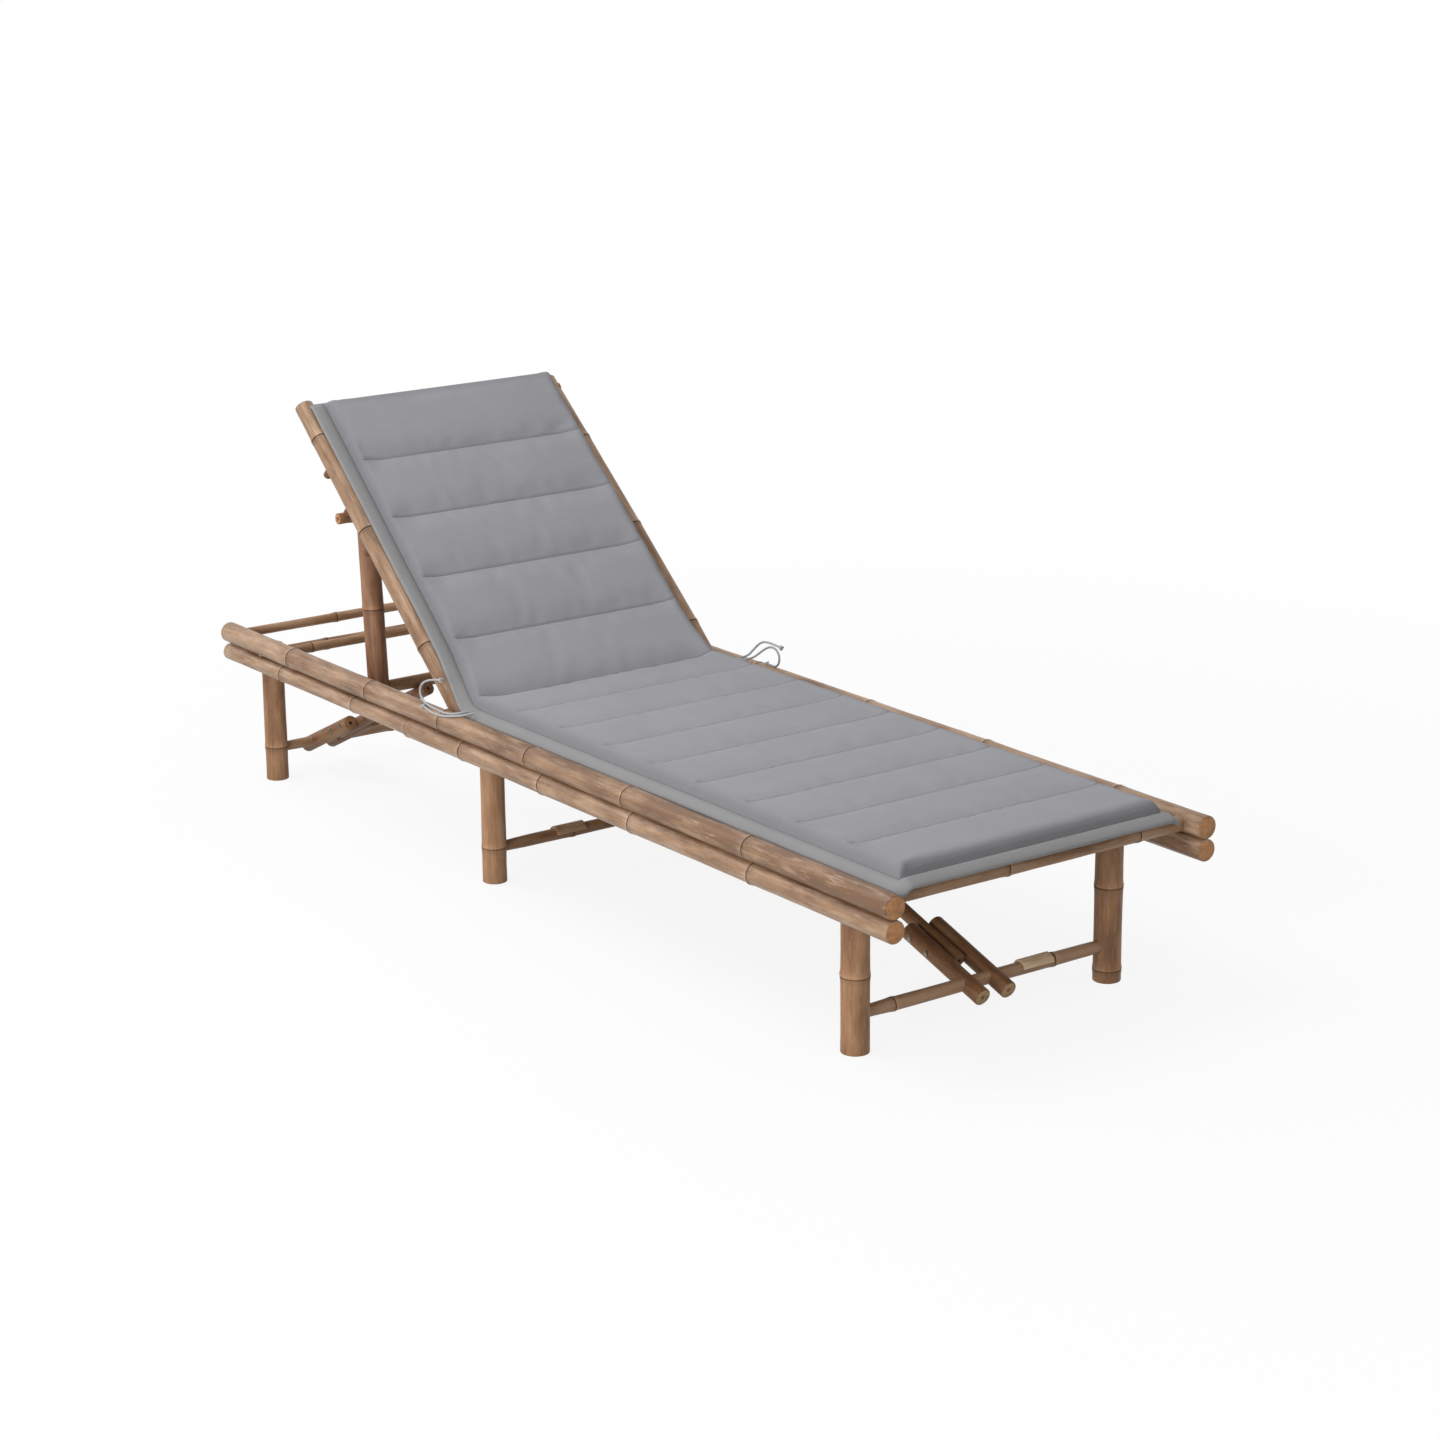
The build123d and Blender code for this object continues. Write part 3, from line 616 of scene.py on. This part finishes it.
# Backrest rails, poles and pegs; the prop's lean follows from the middle peg's place
backLook = {"diameter": 34, "bores": (6, 0), "tone": (0.6, 0.52)}
backLooks = {"right": {"rings": (175, 430, 640), "bow": (-1.5, 0)},
             "left": {"rings": (120, 350, 560), "bow": (-13, 8)}}
backEnds = {"right": 692, "left": 683}
backPoleLook = {"diameter": 20, "rings": (150, 380), "tone": (0.55, 0.55)}
backPoleOut = -1.65
pivot = Vector((0, *layout["propPivot"]))
pivotRun = (pivot - hinge).dot(backRun)
pivotDrop = -(pivot - hinge).dot(backOut)
propTurn = math.asin((pivotDrop - layout["barDrop"]) / layout["propLength"])
propRun = backRun * math.cos(propTurn) + backOut * math.sin(propTurn)
propTop = pivot + propRun * layout["propLength"]
pegMiddle = pivotRun + layout["propLength"] * math.cos(propTurn)
pegPlaces = [pegMiddle + step * layout["pegPitch"] for step in (-1, 0, 1)]
pegLook = {"diameter": 16, "top": -2, "tip": -36}
for side, sign in sides.items():
    x = sign * layout["backX"]
    ends = [onBackrest(place, 0, x) for place in (-layout["backTail"], backEnds[side])]
    culm(f"backrest_rail_{side}", "backrest", "rail_bamboo", railBamboo, *ends, **backLook, **backLooks[side])
    bm = startCulms()
    for place in pegPlaces:
        addCulm(bm, nameSeed(side) + round(place), onBackrest(place, pegLook["top"], x),
                onBackrest(place, pegLook["tip"], x), pegLook["diameter"], wander=0.0)
    pegs = finishMesh(f"backrest_pegs_{side}_turned", bm, [pegWood] * 3)
    stand(pegs, f"backrest_pegs_{side}", "backrest")
backPoles = {"low": 70, "middle": pegPlaces[0] - 50, "top": layout["backLength"] - 34}
for level, place in backPoles.items():
    ends = [onBackrest(place, backPoleOut, way * layout["backX"]) for way in (-1, 1)]
    culm(f"backrest_pole_{level}", "backrest", "pole_bamboo", poleBamboo, *ends, **backPoleLook)

# Prop: two posts on the prop pole and the bar that the pegs rest on
postLook = {"diameter": 39, "rings": (172,), "bores": (8, 8), "wander": 0.3}
postBelow, postAbove = 24, 18
barLook = {"diameter": 20, "rings": (33, 282), "bores": (4, 4), "tone": (0.48, 0.52)}
for side, sign in sides.items():
    shift = Vector((sign * layout["propX"], 0, 0))
    culm(f"prop_post_{side}", "prop", "prop_bamboo", propBamboo, pivot - propRun * postBelow + shift,
         propTop + propRun * postAbove + shift, **postLook)
barSpan = Vector((layout["barHalf"], 0, 0))
culm("prop_bar", "prop", "prop_bamboo", propBamboo, propTop - barSpan, propTop + barSpan, **barLook)
print("backrest and prop made")


# split bamboo slats: flat strips, straight fibre along their length, dry and matt
def slatMaterial(name, lean):
    material, tree, shader = newMaterial(name)
    turned = addNode(tree, "Mapping", {"Vector": objectPlace(tree), "Rotation": (-lean, 0, 0)})[0]
    fibre = cloudNoise(tree, scalePlace(tree, turned, 1.6 * mm, 160 * mm, 1.6 * mm), 1.0, 3.0)
    tint = rampColour(tree, fibre, (0.28, "#8A6A4C"), (0.5, "#B4946F"), (0.72, "#C4A785"))
    shade = rampColour(tree, cloudNoise(tree, turned, 60 * mm, 3.0), (0.3, 0.78), (0.65, 1.06))
    coverShader(tree, shader, mixColour(tree, 1.0, tint, shade), 0.62, fibre)
    return material


slatMaterials = {
    "seat_slats": slatMaterial("split_bamboo_seat", 0.0),
    "rail_dowels": slatMaterial("split_bamboo_dowel", 0.0),
    "backrest_slats": slatMaterial("split_bamboo_back", backLean),
}
for node, material in slatMaterials.items():
    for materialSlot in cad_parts[node].material_slots:
        materialSlot.material = material

# Cushion: sewn channels inside a flat flange, laid over seat and backrest (millimetres)
cushionLook = {
    "footY": -985, "bottomZ": 303.45, "shift": -11,
    "seatHalf": 282, "backHalf": 257, "backFar": 271, "headFar": 9, "narrowFrom": 1140, "narrowOver": 190,
    "flange": 27.5, "farFlange": (22, 13), "headFlange": 8, "flangeThick": 7.5, "pinch": 4.6, "pinchOver": 7,
    "corner": 13, "nearTrim": 4, "leastRim": 0.15,
    "hangs": {"near": 12.5, "far": 12, "foot": 7, "head": 10},
    "hangReaches": {"near": 30, "far": 20, "foot": 14, "head": 16},
    "crown": 24, "seatSeam": 20.5, "backSeam": 16, "foldSeam": 8.5, "seatGroove": 1.5, "backGroove": 2.3,
    "dipFade": 70, "dipStart": 0.15, "grooveWide": 2.6, "grooveFade": 16, "grooveStart": -0.2,
    "channelPower": 3.0, "edgeReach": 13, "edgePower": 2.2, "pinRim": 1.3, "pinSeam": 3, "pinIn": 10,
    "pucker": 0.3, "puckerPitch": (21, 55), "puckerFade": 26, "ripple": 0.24, "ripplePitch": (70, 48),
    "sidePull": 1.2, "sideWave": 1.1, "sideWavePitch": 90, "sideReach": 60,
    "endWave": 1.3, "endWavePitch": (80, 400), "endReach": 40,
    # painted shade: the colour darkens along the sewn line between flange and panel, over shadeReach into the
    # panel and shadeOut into the flange
    "paleFrom": 1.5, "paleOver": 3, "shadeReach": 24, "shadeOut": 4, "paintedBorderShadeTone": 0.7,
    "seatChannel": 129.2, "seatChannels": 9, "backChannels": (142.3, 135, 133, 130, 125),
    "foldOver": 40, "foldTurn": 31, "liftAfter": 46, "liftOver": 90,
    "pressure": 3.0, "swell": -0.006, "cap": 1.6, "frames": 20, "thread": 2.4 * mm,
    "colour": "#98989D", "flangeColour": "#8F8E8F",
    "blendStart": (0, 0.194, 0.305), "blendEnd": (0, 0.280, 0.350),
}
look = cushionLook
flange, seatHalf = look["flange"], look["seatHalf"]
seatSeams = [flange + i * look["seatChannel"] for i in range(look["seatChannels"] + 1)]
foldAt = seatSeams[-1]
backSeams = [foldAt + sum(look["backChannels"][:i + 1]) for i in range(len(look["backChannels"]))]
borders = [*seatSeams, *backSeams]
seams = borders[1:-1]
cushionLong = borders[-1] + flange
innerHalf = seatHalf - flange


# lines of the cushion's grid: close at borders and seams, wide apart in the open cloth
def gradedLines(stops, offsets):
    lines = set(stops)
    for low, high in zip(stops, stops[1:]):
        for offset in offsets:
            if offset < (high - low) / 2 - 4:
                lines |= {low + offset, high - offset}
        lines.add((low + high) / 2)
    return lines


def gridLines(low, stops, high, offsets):
    rims = gradedLines([low, stops[0]], flangeOffsets) | gradedLines([stops[-1], high], flangeOffsets)
    return sorted(rims | gradedLines(stops, offsets))


flangeOffsets = (0.7, 2, 4.5, 10)
rowOffsets = (0.9, 2.4, 5, 9, 15, 23, 34, 48)
columnOffsets = (1.2, 3, 6, 10, 15, 22, 32, *range(44, 240, 12))
rowLines = gridLines(0, borders, cushionLong, rowOffsets)
columnLines = gridLines(-seatHalf, [-innerHalf, innerHalf], seatHalf, columnOffsets)


# share of the full height at a distance inwards from the panel's border
def edgeRise(distance):
    near = 1 - min(1.0, max(0.0, distance) / look["edgeReach"])
    return (1 - near ** look["edgePower"]) ** (1 / look["edgePower"])


# how far the rounded rim of the flange stands from its own middle height
def rimHalf(inside):
    half = look["flangeThick"] / 2
    rim = max(look["leastRim"], min(inside, half))
    return math.sqrt(half * half - (half - rim) ** 2)


def waves(u, s, pitch, seed):
    return noise.noise(Vector((u / pitch[0], s / pitch[1], seed)))


# height of the cushion's top over its underside, sideIn and endIn counted inwards from the outer edge
def topHeight(u, s, sideIn, endIn):
    inside = min(sideIn, endIn)
    if inside <= flange:
        press = smooth(1 - (flange - inside) / look["pinchOver"])
        return look["flangeThick"] / 2 + rimHalf(inside) + (look["pinch"] - look["flangeThick"]) * press
    rise = edgeRise(sideIn - flange) * edgeRise(endIn - flange)
    height = look["crown"]
    nearSeam = min(seams, key=lambda seam: abs(seam - s))
    gap = abs(nearSeam - s)
    beyond = borders[borders.index(nearSeam) + (1 if s > nearSeam else -1)]
    halfChannel = abs(beyond - nearSeam) / 2
    if gap < halfChannel:
        part = "seat" if nearSeam < foldAt else "back"
        low = look["foldSeam"] if nearSeam == foldAt else look[f"{part}Seam"]
        dip = (height - low) * (1 - gap / halfChannel) ** look["channelPower"]
        groove = look[f"{part}Groove"] * math.exp(-(gap / look["grooveWide"]) ** 2)
        height -= dip * smooth((sideIn - flange) / look["dipFade"] + look["dipStart"])
        height -= groove * smooth((sideIn - flange) / look["grooveFade"] + look["grooveStart"])
    height += look["pucker"] * waves(u, s, look["puckerPitch"], 3.7) * math.exp(-gap / look["puckerFade"])
    height += look["ripple"] * waves(u, s, look["ripplePitch"], 9.1)
    return look["pinch"] + (height - look["pinch"]) * rise


# 0 on the seat, 1 on the backrest
def narrowing(s):
    return smooth((s - look["narrowFrom"]) / look["narrowOver"])


# the outer edge's distance from the middle, near side for way below 0, far side above
def outerHalf(s, way):
    half = seatHalf + (look["backHalf" if way < 0 else "backFar"] - seatHalf) * narrowing(s)
    return half - (look["headFar"] * max(0.0, s - foldAt) / (cushionLong - foldAt) if way > 0 else 0.0)


# a point of the flat pattern with its edges narrowed, rounded and waved, then its height, its distance
# from the edge and its share in the paler flange
def patternPoint(u, s):
    sideIn, endIn = seatHalf - abs(u), min(s, cushionLong - s)
    height = topHeight(u, s, sideIn, endIn)
    way, endWay = math.copysign(1, u), 1 if s < cushionLong / 2 else -1
    u -= way * (seatHalf - outerHalf(s, way)) * min(1.0, abs(u) / innerHalf)
    if way < 0:
        u += look["nearTrim"] * (1 - narrowing(s)) * max(0.0, 1 - sideIn / flange)
    else:
        seatWide, backWide = look["farFlange"]
        spare = flange - seatWide + (seatWide - backWide) * narrowing(s)
        u += spare * min(1 - sideIn / seatHalf, sideIn / flange)
    if s > seams[-1]:
        share = (s - seams[-1]) / (borders[-1] - seams[-1])
        s += (flange - look["headFlange"]) * min(share, endIn / flange)
    corner = look["corner"]
    if sideIn < corner and endIn < corner:
        a, b = corner - sideIn, corner - endIn
        u -= way * a * (1 - math.sqrt(1 - b * b / (2 * corner * corner)))
        s += endWay * b * (1 - math.sqrt(1 - a * a / (2 * corner * corner)))
    pull = look["sidePull"] * math.sin(math.pi * smooth(s / foldAt)) if s < foldAt else 0.0
    pull += look["sideWave"] * noise.noise(Vector((way * 40, s / look["sideWavePitch"], 0.4)))
    u -= way * pull * smooth(1 - sideIn / look["sideReach"])
    s += look["endWave"] * waves(u, s, look["endWavePitch"], 5.5) * smooth(1 - endIn / look["endReach"])
    inside = min(sideIn, endIn)
    fromEdge = min(sideIn, s) if way < 0 else s
    paler = smooth((flange + look["paleFrom"] - fromEdge) / look["paleOver"])
    return u, s, height, inside, paler


# the underside's line in the YZ plane: flat seat, a turn at the fold, then up to the backrest's slope
pathS = np.arange(0, cushionLong + 2)
headings = np.radians([
    look["foldTurn"] * smooth((s - foldAt) / look["foldOver"] + 0.5)
    + (layout["backAngle"] - look["foldTurn"]) * smooth((s - foldAt - look["liftAfter"]) / look["liftOver"])
    for s in pathS])
between = (headings[1:] + headings[:-1]) / 2
pathY = look["footY"] + np.concatenate(([0], np.cumsum(np.cos(between))))
pathZ = look["bottomZ"] + np.concatenate(([0], np.cumsum(np.sin(between))))


# a point of the pattern laid along that line, with the flange hanging down at its edges
def layCushion(u, s, height):
    lean = np.interp(s, pathS, headings)
    y = np.interp(s, pathS, pathY) - math.sin(lean) * height
    z = np.interp(s, pathS, pathZ) + math.cos(lean) * height
    past = {"near": look["nearTrim"] - u - outerHalf(s, -1), "far": u - outerHalf(s, 1), "foot": -s,
            "head": s - cushionLong}
    drops = {edge: look["hangs"][edge] * smooth(past[edge] / look["hangReaches"][edge] + 1) for edge in past}
    drops["near"] *= 1 - narrowing(s)
    hang = sum(drops.values())
    return Vector((u + look["shift"], y + math.sin(lean) * hang, z - math.cos(lean) * hang)) * mm


# spreads the weave over a mesh by each point's flat place
def mapCloth(bm, flat):
    clothMap = bm.loops.layers.uv.new("cloth")
    for face in bm.faces:
        for corner in face.loops:
            corner[clothMap].uv = flat(corner.vert).xy


bm = bmesh.new()
bmesh.ops.create_grid(bm, x_segments=len(columnLines) - 1, y_segments=len(rowLines) - 1, size=1)
flatPlace = bm.verts.layers.float_vector.new("flatPlace")
flangeShare, rimIn, paintedBorderShade = (
    bm.verts.layers.float.new(name) for name in ("flangeShare", "rimIn", "paintedBorderShade"))
pins = bm.verts.layers.deform.verify()
for vert in bm.verts:
    column = round((vert.co.x + 1) / 2 * (len(columnLines) - 1))
    row = round((vert.co.y + 1) / 2 * (len(rowLines) - 1))
    u, s, height, inside, paler = patternPoint(columnLines[column], rowLines[row])
    vert.co = Vector((u, s, height)) * mm
    vert[flatPlace] = vert.co
    vert[rimIn] = inside
    vert[flangeShare] = paler
    # painted shade, strongest on the sewn line round the panel and fading inwards and outwards from it
    beyondRim = inside - flange
    shadeReach = look["shadeReach"] if beyondRim > 0 else look["shadeOut"]
    vert[paintedBorderShade] = smooth(1 - abs(beyondRim) / shadeReach)
    edgeIn = seatHalf - abs(columnLines[column])
    seamAway = min(abs(seam - rowLines[row]) for seam in seams)
    onSeam = seamAway < look["pinSeam"] and edgeIn > flange + look["pinIn"]
    sewn = inside <= flange + look["pinRim"] or onSeam
    vert[pins][0] = 1.0 if sewn else 0.0
topFaces = bm.faces[:]
sheet = bpy.data.meshes.new("cushion_sheet")
bm.to_mesh(sheet)

# the channels swell under pressure between their sewn lines, each point by no more than the cap
balloon = addPiece("cushion_sheet", sheet)
balloon.vertex_groups.new(name="sewn")
cloth = balloon.modifiers.new("swell", "CLOTH")
settings = cloth.settings
settings.vertex_group_mass = "sewn"
settings.use_pressure = True
settings.uniform_pressure_force = look["pressure"]
settings.shrink_min = look["swell"]
settings.effector_weights.gravity = 0.0
settings.quality = 6
cloth.point_cache.frame_start = 1
cloth.point_cache.frame_end = look["frames"]
for step in range(1, look["frames"] + 1):
    scene.frame_set(step)
swollen = balloon.evaluated_get(bpy.context.evaluated_depsgraph_get()).data.vertices
cap = look["cap"] * mm
for vert, after in zip(bm.verts, swollen):
    shove = after.co - vert.co
    if shove.length > cap:
        shove *= cap / shove.length
    vert.co += shove
scene.frame_set(1)
bpy.data.objects.remove(balloon)
print("cushion swelled")
bpy.data.meshes.remove(sheet)

made = bmesh.ops.extrude_face_region(bm, geom=topFaces, use_keep_orig=True)
under = {part for part in made["geom"] if isinstance(part, bmesh.types.BMVert)}
for vert in bm.verts:
    u, s, height = vert.co / mm
    if vert in under:
        height = look["flangeThick"] / 2 - rimHalf(vert[rimIn])
    vert.co = layCushion(u, s, height)
bmesh.ops.recalc_face_normals(bm, faces=bm.faces[:])
mapCloth(bm, lambda vert: vert[flatPlace])

# woven polyester: matt, faintly flecked, the thread drawn at twice its size so that it shows; painted shade
# darkens it along the panel's border
cushionFabric, tree, shader = newMaterial("polyester_plain_weave_grey")
place = addNode(tree, "UVMap", uv_map="cloth")[0]
warp, weft = (bandWave(tree, place, look["thread"], 0.6, way) for way in ("X", "Y"))
weave = calculate(tree, "ADD", warp, weft)
slub = cloudNoise(tree, scalePlace(tree, place, 40 * mm, look["thread"], 1.0), 1.0, 3.0)
cloud = cloudNoise(tree, place, 120 * mm, 3.0)
rim, border = (readAttribute(tree, key) for key in ("flangeShare", "paintedBorderShade"))
tint = mixColour(tree, rim, look["colour"], look["flangeColour"], "MIX")
fleck = rampColour(tree, slub, (0.3, 0.965), (0.5, 1.0), (0.7, 1.03))
fade = rampColour(tree, cloud, (0.3, 0.97), (0.7, 1.03))
# painted shade darkens the colour along the panel's border
paintedShadeAtBorder = mixColour(tree, border, 1.0, look["paintedBorderShadeTone"], "MIX")
for change in (fleck, fade, paintedShadeAtBorder):
    tint = mixColour(tree, 1.0, tint, change)
coverShader(tree, shader, tint, 0.93, weave, 0.25, 0.3 * mm)
shader.inputs["Sheen Weight"].default_value = 0.08
shader.inputs["Specular IOR Level"].default_value = 0.25
cushion = finishMesh("cushion_channelled", bm, [cushionFabric], 180)
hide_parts("seat_pad", "back_pad")
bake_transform(cushion, "frame", "backrest", look["blendStart"], look["blendEnd"])
print("cushion made:", len(cushion.data.polygons), "faces")

# Stitches along the seams and round the panel, one small grain each
stitchLook = {"pitch": 6.2, "size": (2.2, 0.6, 0.5), "lift": 0.35, "endGap": 12, "colour": "#86868B",
              "shade": "#77777C"}
stitchThread, tree, shader = newMaterial("polyester_thread_grey")
twist = cloudNoise(tree, objectPlace(tree), 1.5 * mm, 2.0)
tint = rampColour(tree, twist, (0.3, stitchLook["shade"]), (0.7, stitchLook["colour"]))
coverShader(tree, shader, tint, 0.7)
bm = bmesh.new()


def stitchLine(startU, startS, endU, endS):
    count = round(math.hypot(endU - startU, endS - startS) / stitchLook["pitch"])
    line = bmesh.new()
    for i in range(count):
        ends = []
        for share in (i / count, (i + 1) / count):
            spot = patternPoint(startU + (endU - startU) * share, startS + (endS - startS) * share)
            ends.append(layCushion(spot[0], spot[1], spot[2] + stitchLook["lift"]))
        along = (ends[1] - ends[0]).normalized()
        size = Vector(stitchLook["size"]) * mm
        grainTurn = standAlong(along) @ Matrix.Diagonal((size.y, size.z, size.x, 1))
        bmesh.ops.create_uvsphere(line, u_segments=6, v_segments=4, radius=1.0,
                                  matrix=Matrix.Translation((ends[0] + ends[1]) / 2) @ grainTurn)
    lineMesh = bpy.data.meshes.new("stitch_line")
    line.to_mesh(lineMesh)
    line.free()
    bm.from_mesh(lineMesh)
    bpy.data.meshes.remove(lineMesh)


panelHalf = innerHalf - stitchLook["endGap"]
for seam in seams:
    stitchLine(-panelHalf, seam, panelHalf, seam)
for way in (-1, 1):
    stitchLine(way * innerHalf, borders[0], way * innerHalf, borders[-1])
for border in (borders[0], borders[-1]):
    stitchLine(-innerHalf, border, innerHalf, border)
stitches = finishMesh("cushion_stitches", bm, [stitchThread], 180)
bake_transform(stitches, "frame", "backrest", look["blendStart"], look["blendEnd"])
print("stitches made:", len(stitches.data.polygons), "faces")

# A folded tab that carries the far ties out to the rail
tabLook = {"x": (252, 290), "y": (158, 186), "z": (305.3, 307.5), "edgeShare": 0.08}
bm = bmesh.new()
bmesh.ops.create_cube(bm, size=1)
roundEdges(bm, bm.edges[:], tabLook["edgeShare"])
spans = [tabLook[axis] for axis in "xyz"]
bmesh.ops.scale(bm, vec=[(high - low) * mm for low, high in spans], verts=bm.verts[:])
bmesh.ops.translate(bm, vec=[(high + low) / 2 * mm for low, high in spans], verts=bm.verts[:])
mapCloth(bm, lambda vert: vert.co)
tab = finishMesh("tie_tab_left", bm, [cushionFabric], 60)
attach(tab, "frame")
print("tie tab made")

# Stage: a pale floor, white to the camera, and soft light from above, the left and all round
stageLook = {"floorSize": 60.0, "floorColour": "#B4B4B4", "floorGlow": 0.88, "shadowColour": "#F5F5F5",
             "glowFrom": 1.1, "glowTo": 2.8, "worldStrength": 0.5, "lampAim": (0, 0, 0.3)}
lamps = {"key": {"place": (-2.0, 1.0, 4.3), "size": 3.0, "power": 100},
         "side": {"place": (-4.6, -1.8, 1.3), "size": 2.4, "power": 105},
         "rim": {"place": (-2.2, 4.6, 2.9), "size": 1.3, "power": 28}}


# the camera's, mirrored and passed rays meet the white shader, and all other rays the plain one
def whiten(tree, plain, white, output):
    rays = addNode(tree, "LightPath")
    seen = calculate(tree, "MAXIMUM", rays["Is Camera Ray"], rays["Is Glossy Ray"])
    seen = calculate(tree, "MAXIMUM", seen, rays["Is Transmission Ray"])
    mixed = addNode(tree, "MixShader", {0: seen, 1: plain, 2: white})[0]
    tree.links.new(mixed, tree.nodes[output].inputs["Surface"])


bm = bmesh.new()
bmesh.ops.create_grid(bm, x_segments=1, y_segments=1, size=stageLook["floorSize"] / 2)
bmesh.ops.translate(bm, vec=(0, 0, -0.5 * mm), verts=bm.verts[:])
floorMaterial, tree, shader = newMaterial("white_studio_floor")
coverShader(tree, shader, stageLook["floorColour"], 0.9)
shadow = addNode(tree, "BsdfDiffuse", {"Color": stageLook["shadowColour"]})[0]
glow = addNode(tree, "Emission", {"Color": 1, "Strength": 1.0})[0]
away = addNode(tree, "VectorMath", {0: objectPlace(tree)}, operation="LENGTH")["Value"]
share = addNode(tree, "MapRange", {
    "Value": away, "From Min": stageLook["glowFrom"], "From Max": stageLook["glowTo"],
    "To Min": stageLook["floorGlow"], "To Max": 1.0})[0]
white = addNode(tree, "MixShader", {0: share, 1: shadow, 2: glow})[0]
whiten(tree, shader.outputs[0], white, "Material Output")
finishMesh("floor", bm, [floorMaterial])

world = bpy.data.worlds.new("studio")
scene.world = world
world.use_nodes = True
tree = world.node_tree
light = tree.nodes["Background"]
feed(tree, light.inputs["Color"], 1)
feed(tree, light.inputs["Strength"], stageLook["worldStrength"])
white = addNode(tree, "Background", {"Color": 1, "Strength": 1.0})[0]
whiten(tree, light.outputs[0], white, "World Output")
for name, lampLook in lamps.items():
    lamp = bpy.data.lights.new(name, "AREA")
    lamp.size, lamp.energy = lampLook["size"], lampLook["power"]
    lampPiece = addPiece(name, lamp)
    lampPiece.location = lampLook["place"]
    aim = Vector(stageLook["lampAim"]) - Vector(lampLook["place"])
    lampPiece.rotation_euler = aim.to_track_quat("-Z", "Y").to_euler()
scene.view_settings.view_transform = "Standard"
print("stage set")
